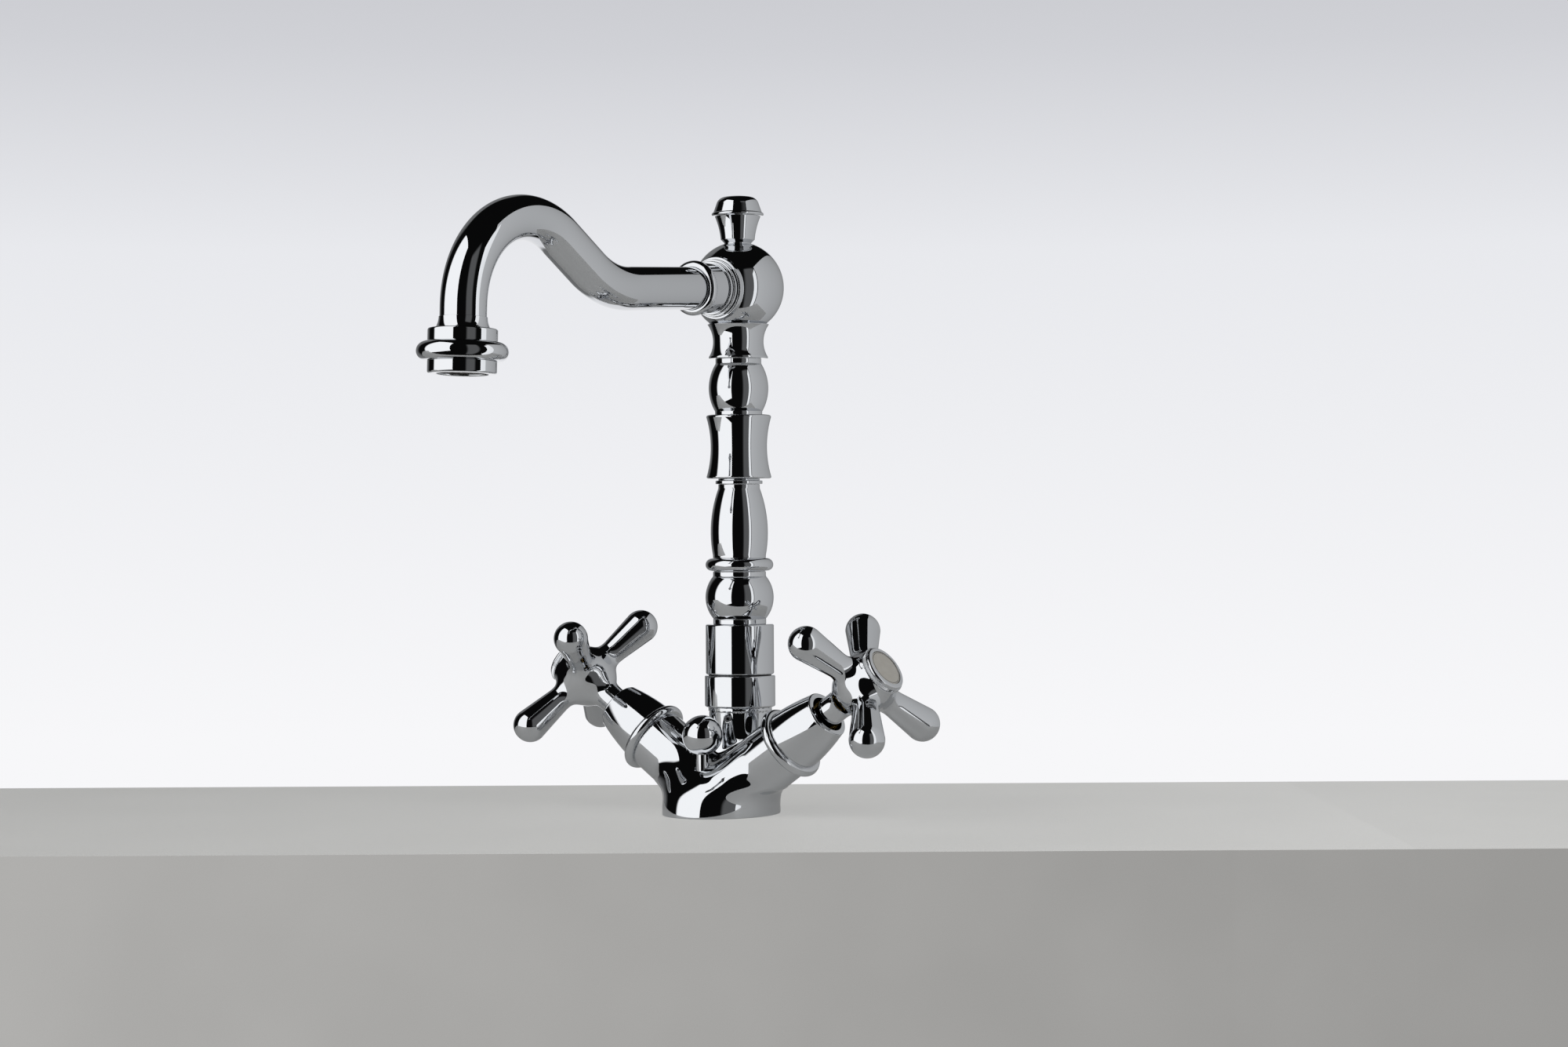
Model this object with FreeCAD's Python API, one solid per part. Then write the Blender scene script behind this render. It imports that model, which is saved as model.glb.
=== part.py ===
import FreeCAD, Part
import math
import os

V = FreeCAD.Vector

# Two-handle basin mixer tap. Millimetres and degrees. The origin is the centre of the foot's
# underside, +Z is up, the cold handle is on +X, the hot handle on -X and the spout points to -Y.

# Fits and cutting
running_clearance = 0.05
seat_clearance = 0.05
lapped_gap = 0.05
cut_overrun = 5.0
same_place = 0.000001

# Foot and arms of the cast body
foot_half_width = 23.0
foot_half_depth = 26.9
foot_height = 6.0
arm_angle = 34.5
arm_crossing_height = 6.5
arm_length = 40.0
arm_radius = 13.2
arm_straight_length = 12.0

# Half of an arm's section from the foot's oval to its round end: how far the turn has gone,
# and how much of the foot's inner edge, outer edge and half depth is left there
arm_turn_shares = (0.0, 0.25, 0.5, 0.75, 1.0)
arm_inner_shares = (1.0, 0.85, 0.5, 0.15, 0.0)
arm_outer_shares = (1.0, 0.55, 0.2, 0.05, 0.0)
arm_depth_shares = (1.0, 0.8, 0.45, 0.15, 0.0)
arm_straight_shares = (0.5, 1.0)
oval_steps = 24

# Neck of the body under the column
column_offset = 13.7
neck_radius = 13.0
neck_top_height = 43.4
neck_root_height = 12.0
neck_lip_radius = 13.3
neck_lip_height = 1.6
neck_spigot_radius = 11.5
neck_spigot_height = 4.5
mixing_floor_height = 24.0

# Waterways and fixings in the foot
inlet_offset = 12.0
inlet_radius = 4.46
inlet_depth = 10.0
waterway_radius = 2.3
stud_hole_radius = 3.32
stud_hole_depth = 12.0
gasket_inset = 3.0
gasket_width = 2.4
gasket_thickness = 1.6

# Valve in each arm, measured along the arm from its end face or its seat
seat_depth = 20.0
valve_radius = 9.5
seat_seal_thickness = 1.5
seat_seal_width = 2.0
disc_thickness = 3.0
disc_radius = 7.9
disc_port_radius = 2.0
disc_port_offset = 4.0
spindle_flange_radius = 7.4
spindle_flange_height = 2.4
spindle_radius = 4.0
valve_hex_radius = 10.9
valve_hex_height = 5.0
bonnet_radius = 7.0
bonnet_height = 12.0
o_ring_radius = 0.9
o_ring_seat_height = 7.0

# Conical shroud over each valve
shroud_length = 24.0
shroud_foot_radius = 13.2
shroud_mouth_radius = 10.2
shroud_swell = 0.5
shroud_wall = 2.4
shroud_lip_radius = 0.9
bead_radius = 15.7
bead_round = 2.1

# Cross handle on each valve
handle_reach = 45.8
handle_neck_radius = 6.0
handle_neck_gap = 0.6
handle_roll = 5.5
hub_radius = 12.0
hub_root_depth = 9.6
hub_top_height = 9.3
hub_top_radius = 10.0
hub_bore_radius = 6.5
hub_floor_depth = 5.6
spindle_engagement = 16.4
socket_end_gap = 0.5
arm_tip_reach = 32.1
arm_tip_radius = 7.2
arm_waist_radius = 4.6
arm_waist_reach = 11.0
handle_arms = 4

# Screw, bezel and disc of each handle's index button
screw_radius = 2.0
screw_head_radius = 3.9
screw_head_height = 3.2
screw_length = 13.0
screw_socket_radius = 1.7
screw_socket_depth = 1.8
bezel_radius = 10.2
bezel_height = 3.1
bezel_chamfer = 0.9
bezel_spigot_depth = 4.0
bezel_spigot_wall = 1.4
index_disc_radius = 7.6
index_disc_thickness = 1.4
index_disc_recess = 0.15
knurl_count = 60
knurl_depth = 0.35
knurl_height = 1.7

# Collar, swivel pin and sleeve
collar_radius = 14.76
collar_height = 13.1
turned_edge = 0.7
swivel_washer_thickness = 0.4
swivel_washer_width = 4.0
pin_radius = 9.0
pin_bore_radius = 6.0
pin_floor_gap = 2.0
pin_engagement = 9.0
pin_groove_depth = 1.3
pin_o_ring_radius = 0.8
pin_o_ring_drop = 5.0
sleeve_radius = 14.28
sleeve_height = 20.8

# Grub screw in the neck
grub_drop = 4.4
grub_bearing = 12.0
grub_radius = 1.2
grub_length = 5.0
grub_socket_radius = 0.7
grub_socket_depth = 1.6

# Turned column, from the sleeve up to the ball
column_bore_radius = 5.5
column_spigot_length = 11.0
column_head_radius = 7.5
column_head_length = 7.0
foot_neck_radius = 11.1
foot_neck_height = 2.2
bulb_radius = 14.3
bulb_height = 17.8
ring_neck_radius = 11.1
ring_neck_height = 1.9
ring_radius = 14.2
ring_height = 5.6
ring_gap_height = 0.9
baluster_radius = 12.0
baluster_foot_height = 9.6
baluster_neck_radius = 8.7
baluster_height = 28.2
baluster_neck_height = 1.6
disc_ring_radius = 9.85
disc_ring_height = 1.5
flare_gap_height = 0.7
flare_lip_radius = 13.6
flare_lip_round = 0.9
flare_waist_radius = 11.8
flare_height = 26.6
upper_neck_radius = 9.9
upper_neck_height = 1.4
upper_bulb_radius = 12.5
upper_bulb_height = 20.0
groove_radius = 9.6
groove_height = 2.0
capital_lip_radius = 12.4
capital_lip_height = 0.8
capital_waist_radius = 10.6
capital_waist_height = 6.6
capital_radius = 13.0
capital_height = 14.3

# Ball, its spout socket and the finial
ball_radius = 19.2
ball_wall = 7.0
socket_radii = (12.8, 11.8, 11.0)
socket_reaches = (16.4, 18.4, 20.4)
finial_seat_radius = 5.6
finial_stud_radius = 3.0
finial_stud_length = 6.0
finial_neck_height = 1.3
finial_vase_foot_radius = 7.1
finial_vase_foot_height = 1.4
finial_vase_radius = 9.6
finial_vase_height = 9.8
finial_lip_radius = 10.9
finial_lip_height = 1.6
finial_dome_radius = 10.2
finial_shoulder_radius = 8.9
finial_shoulder_height = 3.6
finial_crown_radius = 5.4
finial_crown_height = 2.9
finial_crown_rise = 0.5

# Spout
tube_radius = 8.74
tube_bore_radius = 7.5
spout_fall = 3.8
spout_corner_reach = 89.5
spout_rise_angle = 31.9
spout_bend_radius = 43.6
spout_straight = 20.4
gooseneck_radius = 36.7
outlet_lean = 2.3
spout_height_offset = 1.1
spout_leg = 14.5
tube_insertion = 3.5
spout_collar_radius = 10.3
spout_collar_length = 8.8
spout_bead_radius = 11.3
spout_bead_length = 4.0
spout_o_ring_radius = 0.9

# Outlet and aerator, measured up from the rim
outlet_ledge = 1.0
outlet_flare_radius = 10.3
outlet_feather = 0.25
outlet_flare_height = 4.4
outlet_ring_radius = 13.0
outlet_ring_height = 4.9
outlet_torus_radius = 17.1
outlet_torus_height = 7.0
aerator_radius = 12.9
aerator_height = 4.8
aerator_thread_radius = 11.4
aerator_thread_height = 5.0
aerator_bore_radius = 10.1
aerator_rim_height = 1.0
aerator_rim_ledge = 0.6
aerator_insert_wall = 1.2
aerator_hole_radius = 0.6
aerator_hole_pitch = 2.4
aerator_hole_rings = 3
aerator_web = 1.2
aerator_seal_thickness = 1.5

# Lift rod and knob of the pop-up waste
rod_offset = 13.3
rod_radius = 2.7
rod_foot_gap = 1.0
rod_engagement = 6.0
knob_radius = 8.3
knob_height = 33.0
bush_radius = 4.2
bush_height = 6.0
bush_floor = 2.0

# Worked out places
arm_direction = V(math.cos(math.radians(arm_angle)), 0, math.sin(math.radians(arm_angle)))
arm_normal = V(-math.sin(math.radians(arm_angle)), 0, math.cos(math.radians(arm_angle)))
arm_crossing = V(0, 0, arm_crossing_height)
arm_bend_reach = arm_length - arm_straight_length
seat_reach = arm_length - seat_depth
fixed_disc_reach = seat_reach + seat_seal_thickness
moving_disc_reach = fixed_disc_reach + disc_thickness + lapped_gap
flange_reach = moving_disc_reach + disc_thickness
flange_top = flange_reach + spindle_flange_height
bonnet_reach = arm_length + valve_hex_height
bonnet_top = bonnet_reach + bonnet_height
neck_foot = bonnet_top + handle_neck_gap
cross_reach = arm_length + handle_reach
spindle_top = neck_foot + spindle_engagement
hub_floor = cross_reach - hub_floor_depth
hub_top = cross_reach + hub_top_height
bezel_top = hub_top + bezel_height
shroud_mouth = arm_length + shroud_length

collar_top = neck_top_height + collar_height
grub_height = neck_top_height - grub_drop
sleeve_foot = collar_top + swivel_washer_thickness + lapped_gap
sleeve_top = sleeve_foot + sleeve_height
pin_foot = mixing_floor_height + pin_floor_gap
pin_o_ring_heights = ((pin_foot + grub_height) / 2, collar_top - pin_o_ring_drop)
pin_top = sleeve_foot + pin_engagement
bulb_foot = sleeve_top + foot_neck_height
ring_neck_foot = bulb_foot + bulb_height
ring_foot = ring_neck_foot + ring_neck_height
ring_top = ring_foot + ring_height
baluster_foot = ring_top + ring_gap_height
baluster_top = baluster_foot + baluster_height
disc_ring_foot = baluster_top + baluster_neck_height
disc_ring_top = disc_ring_foot + disc_ring_height
flare_foot = disc_ring_top + flare_gap_height
flare_top = flare_foot + flare_height
upper_bulb_foot = flare_top + upper_neck_height
upper_bulb_top = upper_bulb_foot + upper_bulb_height
capital_foot = upper_bulb_top + groove_height
capital_top = capital_foot + capital_height
ball_height = capital_top + math.sqrt(ball_radius ** 2 - capital_radius ** 2)
ball_flat_top = ball_height + math.sqrt(ball_radius ** 2 - finial_seat_radius ** 2)
socket_end = socket_reaches[-1]
spout_start_height = ball_height + spout_height_offset
thread_cavity_top = aerator_height + aerator_thread_height + seat_clearance
outlet_tube_end = thread_cavity_top + outlet_ledge


def turned(start, *steps):
    """Solid of revolution about Z: a step is one point for a line, or two for an arc through the first."""
    edges = []
    here = V(start[0], 0, start[1])
    for step in steps:
        points = [V(radius, 0, height) for radius, height in step]
        if len(points) == 1:
            edges.append(Part.LineSegment(here, points[0]).toShape())
        else:
            edges.append(Part.Arc(here, points[0], points[1]).toShape())
        here = points[-1]
    closing = V(start[0], 0, start[1])
    if here.distanceToPoint(closing) > same_place:
        edges.append(Part.LineSegment(here, closing).toShape())
    face = Part.Face(Part.Wire(edges))
    return face.revolve(V(0, 0, 0), V(0, 0, 1), 360)


def pin(radius, foot, top):
    """Plain round bar on the Z axis."""
    return Part.makeCylinder(radius, top - foot, V(0, 0, foot))


def tube(outer, inner, foot, top):
    """Plain round tube on the Z axis."""
    return pin(outer, foot, top).cut(pin(inner, foot - cut_overrun, top + cut_overrun))


def between(radius, first, last):
    """Round bar from one point to another."""
    way = last - first
    return Part.makeCylinder(radius, way.Length, first, way)


def o_ring(middle_radius, section_radius, height):
    """Seal ring on the Z axis."""
    return Part.makeTorus(middle_radius, section_radius, V(0, 0, height))


def placed(shape, base, rotation):
    """A copy of a shape, turned and then moved."""
    copy = shape.copy()
    copy.Placement = FreeCAD.Placement(base, rotation).multiply(copy.Placement)
    return copy


def on_arm(shape, side):
    """Places a piece made on Z along the arm of one side: 1 is cold, -1 is hot."""
    lean = FreeCAD.Rotation(V(0, 1, 0), side * (90 - arm_angle))
    return placed(shape, arm_crossing, lean)


def on_column(shape):
    """Places a piece made on Z on the column's axis."""
    return placed(shape, V(0, column_offset, 0), FreeCAD.Rotation())


def oval_points(centre, across, half_across, half_depth):
    """Closed row of points on an ellipse, one half axis along the given direction, the other along Y."""
    points = []
    for step in range(oval_steps + 1):
        turn = 2 * math.pi * step / oval_steps
        depth = V(0, half_depth * math.cos(turn), 0)
        points.append(centre + depth + across * (half_across * math.sin(turn)))
    return points


def skinned(rows):
    """Solid with one smooth skin through closed rows of points and a flat cap at each end."""
    surface = Part.BSplineSurface()
    surface.interpolate(rows)
    skin = surface.toShape()
    caps = [Part.Face(Part.Wire([edge])) for edge in skin.Edges if edge.isClosed()]
    shell = Part.makeShell([skin] + caps)
    shell.sewShape()
    solid = Part.makeSolid(shell)
    if solid.Volume < 0:
        solid.reverse()
    return solid


def oval_plate(half_width, half_depth, foot, top):
    """Elliptical plate from one height to another, longer along Y."""
    outline = Part.Ellipse(V(0, 0, 0), half_depth, half_width).toShape()
    plate = Part.Face(Part.Wire([outline])).extrude(V(0, 0, top - foot))
    return placed(plate, V(0, 0, foot), FreeCAD.Rotation(V(0, 0, 1), 90))


def left(end, start, shares):
    """Values that run from start to end, by the share of start that is left."""
    return [end + (start - end) * share for share in shares]


def arm():
    """Cold arm: ovals on planes through one hinge line beside the foot, then circles along the arm."""
    bend_end = arm_crossing + arm_direction * arm_bend_reach
    rise = bend_end.z - foot_height
    hinge = V(bend_end.x + rise * math.tan(math.radians(arm_angle)), 0, foot_height)
    end_distance = (bend_end - hinge).Length
    inner = left(end_distance - arm_radius, hinge.x - foot_half_width, arm_inner_shares)
    outer = left(end_distance + arm_radius, hinge.x + foot_half_width, arm_outer_shares)
    depths = left(arm_radius, foot_half_depth, arm_depth_shares)
    rows = [oval_points(V(0, 0, 0), V(-1, 0, 0), foot_half_width, foot_half_depth)]
    for share, near, far, depth in zip(arm_turn_shares, inner, outer, depths):
        turn = math.radians((90 - arm_angle) * share)
        across = V(-math.cos(turn), 0, math.sin(turn))
        centre = hinge + across * ((near + far) / 2)
        rows.append(oval_points(centre, across, (far - near) / 2, depth))
    for share in arm_straight_shares:
        reach = arm_bend_reach + arm_straight_length * share
        centre = arm_crossing + arm_direction * reach
        rows.append(oval_points(centre, arm_normal, arm_radius, arm_radius))
    return skinned(rows)


def other_half():
    """Block over the hot half of the foot, where the cold arm's half of the body ends."""
    size = 2 * (foot_half_depth + arm_length)
    return Part.makeBox(size, 2 * size, 2 * size, V(-size, -size, -size))


def neck():
    """Neck that carries the column, with its lip and the spigot for the collar."""
    lip_foot = neck_top_height - neck_lip_height
    spigot_top = neck_top_height + neck_spigot_height
    return turned(
        (0, neck_root_height),
        [(neck_radius, neck_root_height)],
        [(neck_radius, lip_foot)],
        [(neck_lip_radius, lip_foot)],
        [(neck_lip_radius, neck_top_height)],
        [(neck_spigot_radius, neck_top_height)],
        [(neck_spigot_radius, spigot_top)],
        [(0, spigot_top)],
    )


def grub_place(shape):
    """Places a piece made on Z along the grub screw's hole, from the column axis outwards."""
    aim = FreeCAD.Rotation(V(0, 0, 1), grub_bearing).multiply(FreeCAD.Rotation(V(1, 0, 0), 90))
    return placed(shape, V(0, column_offset, grub_height), aim)


def mixer_body():
    """Cast body: foot, two arms and neck, bored for the valves, the pin, the rod and the waterways."""
    cold_half = arm().cut(other_half())
    hot_half = cold_half.mirror(V(0, 0, 0), V(1, 0, 0))
    body = cold_half.fuse(hot_half).fuse(on_column(neck()))
    cuts = []
    valve_bore = pin(valve_radius + seat_clearance, seat_reach, arm_length + cut_overrun)
    for side in (1, -1):
        cuts.append(on_arm(valve_bore, side))
        inlet = V(side * inlet_offset, 0, 0)
        cuts.append(placed(pin(inlet_radius, -cut_overrun, inlet_depth), inlet, FreeCAD.Rotation()))
        seat = arm_crossing + arm_direction * (seat_reach + waterway_radius)
        lower = seat - arm_normal * disc_port_offset
        upper = seat + arm_normal * disc_port_offset
        lower.x = side * lower.x
        upper.x = side * upper.x
        cuts.append(between(waterway_radius, inlet + V(0, 0, inlet_depth - waterway_radius), lower))
        chamber = V(0, column_offset, mixing_floor_height + waterway_radius)
        cuts.append(between(waterway_radius, upper, chamber))
    pin_bore = pin(pin_radius + running_clearance, mixing_floor_height, collar_top)
    cuts.append(on_column(pin_bore))
    cuts.append(on_column(pin(stud_hole_radius, -cut_overrun, stud_hole_depth)))
    rod_place = V(0, -rod_offset, 0)
    rod_bore = pin(rod_radius + running_clearance, -cut_overrun, knob_height)
    bush_bore = pin(bush_radius + seat_clearance, -cut_overrun, bush_floor + bush_height)
    cuts.append(placed(rod_bore, rod_place, FreeCAD.Rotation()))
    cuts.append(placed(bush_bore, rod_place, FreeCAD.Rotation()))
    cuts.append(grub_place(pin(grub_radius + seat_clearance, 0, neck_radius + cut_overrun)))
    cuts.append(gasket(seat_clearance, cut_overrun))
    for tool in cuts:
        body = body.cut(tool)
    return body


def gasket(room, below):
    """Oval ring in the foot's underside, with room round it for its own groove."""
    half_width = foot_half_width - gasket_inset
    half_depth = foot_half_depth - gasket_inset
    outside = oval_plate(half_width + room, half_depth + room, -below, gasket_thickness + room)
    inside = oval_plate(
        half_width - gasket_width - room,
        half_depth - gasket_width - room,
        -below - cut_overrun,
        gasket_thickness + room + cut_overrun,
    )
    return outside.cut(inside)


def rod_guide_bush():
    """Bush that guides the lift rod in the foot."""
    bush = tube(bush_radius, rod_radius + running_clearance, bush_floor, bush_floor + bush_height)
    return placed(bush, V(0, -rod_offset, 0), FreeCAD.Rotation())


def grub_screw():
    """Set screw whose tip stands in the swivel pin's groove."""
    tip = pin_radius - pin_groove_depth + running_clearance
    screw = pin(grub_radius, tip, tip + grub_length)
    socket = pin(grub_socket_radius, tip + grub_length - grub_socket_depth, tip + grub_length + cut_overrun)
    return grub_place(screw.cut(socket))


def column_collar():
    """Fixed collar that sits over the neck's spigot."""
    bore = pin_radius + running_clearance
    counterbore = neck_spigot_radius + seat_clearance
    step = neck_top_height + neck_spigot_height + seat_clearance
    corner = turned_edge * (1 - math.sqrt(0.5))
    collar = turned(
        (counterbore, neck_top_height),
        [(collar_radius - turned_edge, neck_top_height)],
        [
            (collar_radius - corner, neck_top_height + corner),
            (collar_radius, neck_top_height + turned_edge),
        ],
        [(collar_radius, collar_top - turned_edge)],
        [(collar_radius - corner, collar_top - corner), (collar_radius - turned_edge, collar_top)],
        [(bore, collar_top)],
        [(bore, step)],
        [(counterbore, step)],
    )
    return on_column(collar)


def swivel_washer():
    """Thin slip washer on top of the collar."""
    inner = pin_radius + 2 * running_clearance
    top = collar_top + swivel_washer_thickness
    return on_column(tube(inner + swivel_washer_width, inner, collar_top, top))


def swivel_pin():
    """Hollow pin of the spout, with grooves for its seals and for the grub screw."""
    body = tube(pin_radius, pin_bore_radius, pin_foot, pin_top)
    floor = pin_radius - pin_groove_depth
    half = grub_radius + running_clearance
    grooves = [tube(pin_radius + cut_overrun, floor, grub_height - half, grub_height + half)]
    for height in pin_o_ring_heights:
        low = height - pin_o_ring_radius - seat_clearance
        high = height + pin_o_ring_radius + seat_clearance
        seal_floor = pin_radius - 2 * pin_o_ring_radius - seat_clearance
        grooves.append(tube(pin_radius + cut_overrun, seal_floor, low, high))
    return on_column(body.cut(grooves))


def swivel_o_rings():
    """The two seals on the swivel pin."""
    middle = pin_radius - pin_o_ring_radius
    rings = [o_ring(middle, pin_o_ring_radius, height) for height in pin_o_ring_heights]
    return on_column(Part.makeCompound(rings))


def swivel_sleeve():
    """Plain sleeve over the swivel pin, under the turned column."""
    bore = pin_radius + seat_clearance
    corner = turned_edge * (1 - math.sqrt(0.5))
    sleeve = turned(
        (bore, sleeve_foot),
        [(sleeve_radius - turned_edge, sleeve_foot)],
        [(sleeve_radius - corner, sleeve_foot + corner), (sleeve_radius, sleeve_foot + turned_edge)],
        [(sleeve_radius, sleeve_top - turned_edge)],
        [(sleeve_radius - corner, sleeve_top - corner), (sleeve_radius - turned_edge, sleeve_top)],
        [(bore, sleeve_top)],
    )
    return on_column(sleeve)


def column_shaft():
    """Turned column in one piece, with a spigot at each end and a bore for the water."""
    spigot_foot = sleeve_top - column_spigot_length
    head_top = capital_top + column_head_length
    lip_edge = flare_lip_radius - flare_lip_round
    shoulder = flare_lip_round * (1 - math.sqrt(0.5))
    lip_shoulder = flare_lip_radius - shoulder
    shaft = turned(
        (column_bore_radius, spigot_foot),
        [(pin_radius, spigot_foot)],
        [(pin_radius, sleeve_top)],
        [(foot_neck_radius, sleeve_top)],
        [(foot_neck_radius, bulb_foot)],
        [(bulb_radius, bulb_foot + bulb_height / 2), (ring_neck_radius, ring_neck_foot)],
        [(ring_neck_radius, ring_foot)],
        [(ring_radius, ring_foot + ring_height / 2), (ring_neck_radius, ring_top)],
        [(ring_neck_radius, baluster_foot)],
        [(baluster_radius, baluster_foot + baluster_foot_height), (baluster_neck_radius, baluster_top)],
        [(baluster_neck_radius, disc_ring_foot)],
        [(disc_ring_radius, disc_ring_foot)],
        [(disc_ring_radius, disc_ring_top)],
        [(baluster_neck_radius, disc_ring_top)],
        [(baluster_neck_radius, flare_foot)],
        [(lip_edge, flare_foot)],
        [(lip_shoulder, flare_foot + shoulder), (flare_lip_radius, flare_foot + flare_lip_round)],
        [(flare_waist_radius, flare_foot + flare_height / 2), (flare_lip_radius, flare_top - flare_lip_round)],
        [(lip_shoulder, flare_top - shoulder), (lip_edge, flare_top)],
        [(upper_neck_radius, flare_top)],
        [(upper_neck_radius, upper_bulb_foot)],
        [(upper_bulb_radius, upper_bulb_foot + upper_bulb_height / 2), (groove_radius, upper_bulb_top)],
        [(groove_radius, capital_foot)],
        [(capital_lip_radius, capital_foot)],
        [(capital_lip_radius, capital_foot + capital_lip_height)],
        [(capital_waist_radius, capital_foot + capital_waist_height), (capital_radius, capital_top)],
        [(column_head_radius, capital_top)],
        [(column_head_radius, head_top)],
        [(column_bore_radius, head_top)],
    )
    return on_column(shaft)


def on_spout(shape):
    """Places a piece made on Z along the spout's first run, from the column axis outwards."""
    start = V(0, column_offset, spout_start_height)
    return placed(shape, start, FreeCAD.Rotation(V(1, 0, 0), 90 + spout_fall))


def ball_head():
    """Hollow ball on the column with a stepped socket for the spout and a hole for the finial."""
    centre = V(0, column_offset, ball_height)
    ball = Part.makeSphere(ball_radius, centre)
    block = 2 * ball_radius
    edge = column_offset - ball_radius
    flat = Part.makeBox(block, block, block, V(-ball_radius, edge, capital_top - block))
    crown = Part.makeBox(block, block, block, V(-ball_radius, edge, ball_flat_top))
    steps = [on_spout(pin(radius, 0, reach)) for radius, reach in zip(socket_radii, socket_reaches)]
    ball = ball.cut([flat, crown]).multiFuse(steps).removeSplitter()
    seal_room = tube_radius + 2 * spout_o_ring_radius + 2 * seat_clearance
    seal_floor = socket_end - 2 * spout_o_ring_radius - seat_clearance
    cavity = Part.makeSphere(ball_radius - ball_wall, centre)
    column_hole = pin(column_head_radius + seat_clearance, capital_top - cut_overrun, ball_height)
    stud_hole = pin(finial_stud_radius + seat_clearance, ball_height, ball_flat_top + cut_overrun)
    tube_hole = pin(tube_radius + seat_clearance, 0, socket_end + cut_overrun)
    seal_hole = pin(seal_room, seal_floor, socket_end + cut_overrun)
    cuts = [cavity, on_column(column_hole), on_column(stud_hole), on_spout(tube_hole), on_spout(seal_hole)]
    return ball.cut(cuts)


def finial():
    """Turned finial: stud, small neck, flared vase, lip and domed top."""
    seat = ball_flat_top
    vase_foot = seat + finial_neck_height + finial_vase_foot_height
    lip_foot = vase_foot + finial_vase_height
    dome_foot = lip_foot + finial_lip_height
    shoulder = dome_foot + finial_shoulder_height
    crown = shoulder + finial_crown_height
    lip_edge = finial_lip_radius - finial_lip_height / 2
    vase_middle = (finial_vase_foot_radius * 2 + finial_vase_radius) / 3
    corner = ((finial_shoulder_radius * 2 + finial_crown_radius) / 3, (shoulder + crown * 2) / 3)
    return on_column(turned(
        (0, seat - finial_stud_length),
        [(finial_stud_radius, seat - finial_stud_length)],
        [(finial_stud_radius, seat)],
        [(finial_seat_radius, seat)],
        [(finial_seat_radius, seat + finial_neck_height)],
        [(finial_vase_foot_radius, vase_foot)],
        [(vase_middle, vase_foot + finial_vase_height / 2), (finial_vase_radius, lip_foot)],
        [(lip_edge, lip_foot)],
        [(finial_lip_radius, lip_foot + finial_lip_height / 2), (lip_edge, dome_foot)],
        [(finial_dome_radius, dome_foot)],
        [(finial_shoulder_radius, shoulder)],
        [corner, (finial_crown_radius, crown)],
        [(0, crown + finial_crown_rise)],
    ))


def spout_route():
    """Points of the spout's centre line in its own plane: (reach from the column axis, height)."""
    fall = math.radians(spout_fall)
    rise = math.radians(spout_rise_angle)
    lean = math.radians(outlet_lean)
    along = (math.cos(fall), -math.sin(fall))
    upward = (math.cos(rise), math.sin(rise))
    down = (math.sin(lean), -math.cos(lean))
    first = socket_end - tube_insertion
    start = (along[0] * first, spout_start_height + along[1] * first)
    corner = (spout_corner_reach, spout_start_height - spout_corner_reach * math.tan(fall))
    tangent = spout_bend_radius * math.tan((fall + rise) / 2)
    bend_start = (corner[0] - along[0] * tangent, corner[1] - along[1] * tangent)
    bend_end = (corner[0] + upward[0] * tangent, corner[1] + upward[1] * tangent)
    bend_centre = (
        bend_start[0] - along[1] * spout_bend_radius,
        bend_start[1] + along[0] * spout_bend_radius,
    )
    middle = (rise - fall) / 2
    bend_middle = (
        bend_centre[0] + spout_bend_radius * math.sin(middle),
        bend_centre[1] - spout_bend_radius * math.cos(middle),
    )
    neck_start = (bend_end[0] + upward[0] * spout_straight, bend_end[1] + upward[1] * spout_straight)
    centre = (neck_start[0] + upward[1] * gooseneck_radius, neck_start[1] - upward[0] * gooseneck_radius)
    top = (math.radians(90) + rise + lean) / 2
    neck_middle = (
        centre[0] + gooseneck_radius * math.cos(top),
        centre[1] + gooseneck_radius * math.sin(top),
    )
    neck_end = (
        centre[0] + gooseneck_radius * math.cos(lean),
        centre[1] + gooseneck_radius * math.sin(lean),
    )
    end = (neck_end[0] + down[0] * spout_leg, neck_end[1] + down[1] * spout_leg)
    rim = (end[0] + down[0] * outlet_tube_end, end[1] + down[1] * outlet_tube_end)
    return start, bend_start, bend_middle, bend_end, neck_start, neck_middle, neck_end, end, rim


def in_space(point):
    """A point of the spout's plane in the tap's frame."""
    return V(0, column_offset - point[0], point[1])


def spout_tube():
    """Bent tube: straight runs joined by tangent arcs."""
    stops = [in_space(point) for point in spout_route()[:-1]]
    start, bend_start, bend_middle, bend_end, neck_start, neck_middle, neck_end, end = stops
    path = Part.Wire([
        Part.LineSegment(start, bend_start).toShape(),
        Part.Arc(bend_start, bend_middle, bend_end).toShape(),
        Part.LineSegment(bend_end, neck_start).toShape(),
        Part.Arc(neck_start, neck_middle, neck_end).toShape(),
        Part.LineSegment(neck_end, end).toShape(),
    ])
    skins = []
    for radius in (tube_radius, tube_bore_radius):
        ring = Part.Wire(Part.Circle(start, bend_start - start, radius).toShape())
        skins.append(path.makePipeShell([ring], True, True))
    return skins[0].cut(skins[1])


def spout_collar():
    """Collar on the tube with a round bead, screwed against the socket."""
    bore = tube_radius + seat_clearance
    bead_foot = socket_end + spout_collar_length
    bead_top = bead_foot + spout_bead_length
    bead_edge = spout_bead_radius - spout_bead_length / 2
    return on_spout(turned(
        (bore, socket_end),
        [(spout_collar_radius, socket_end)],
        [(spout_collar_radius, bead_foot)],
        [(spout_bead_radius, (bead_foot + bead_top) / 2), (bead_edge, bead_top)],
        [(bore, bead_top)],
    ))


def spout_o_ring():
    """Seal between the tube and its socket."""
    middle = tube_radius + seat_clearance + spout_o_ring_radius
    return on_spout(o_ring(middle, spout_o_ring_radius, socket_end - spout_o_ring_radius))


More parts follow.
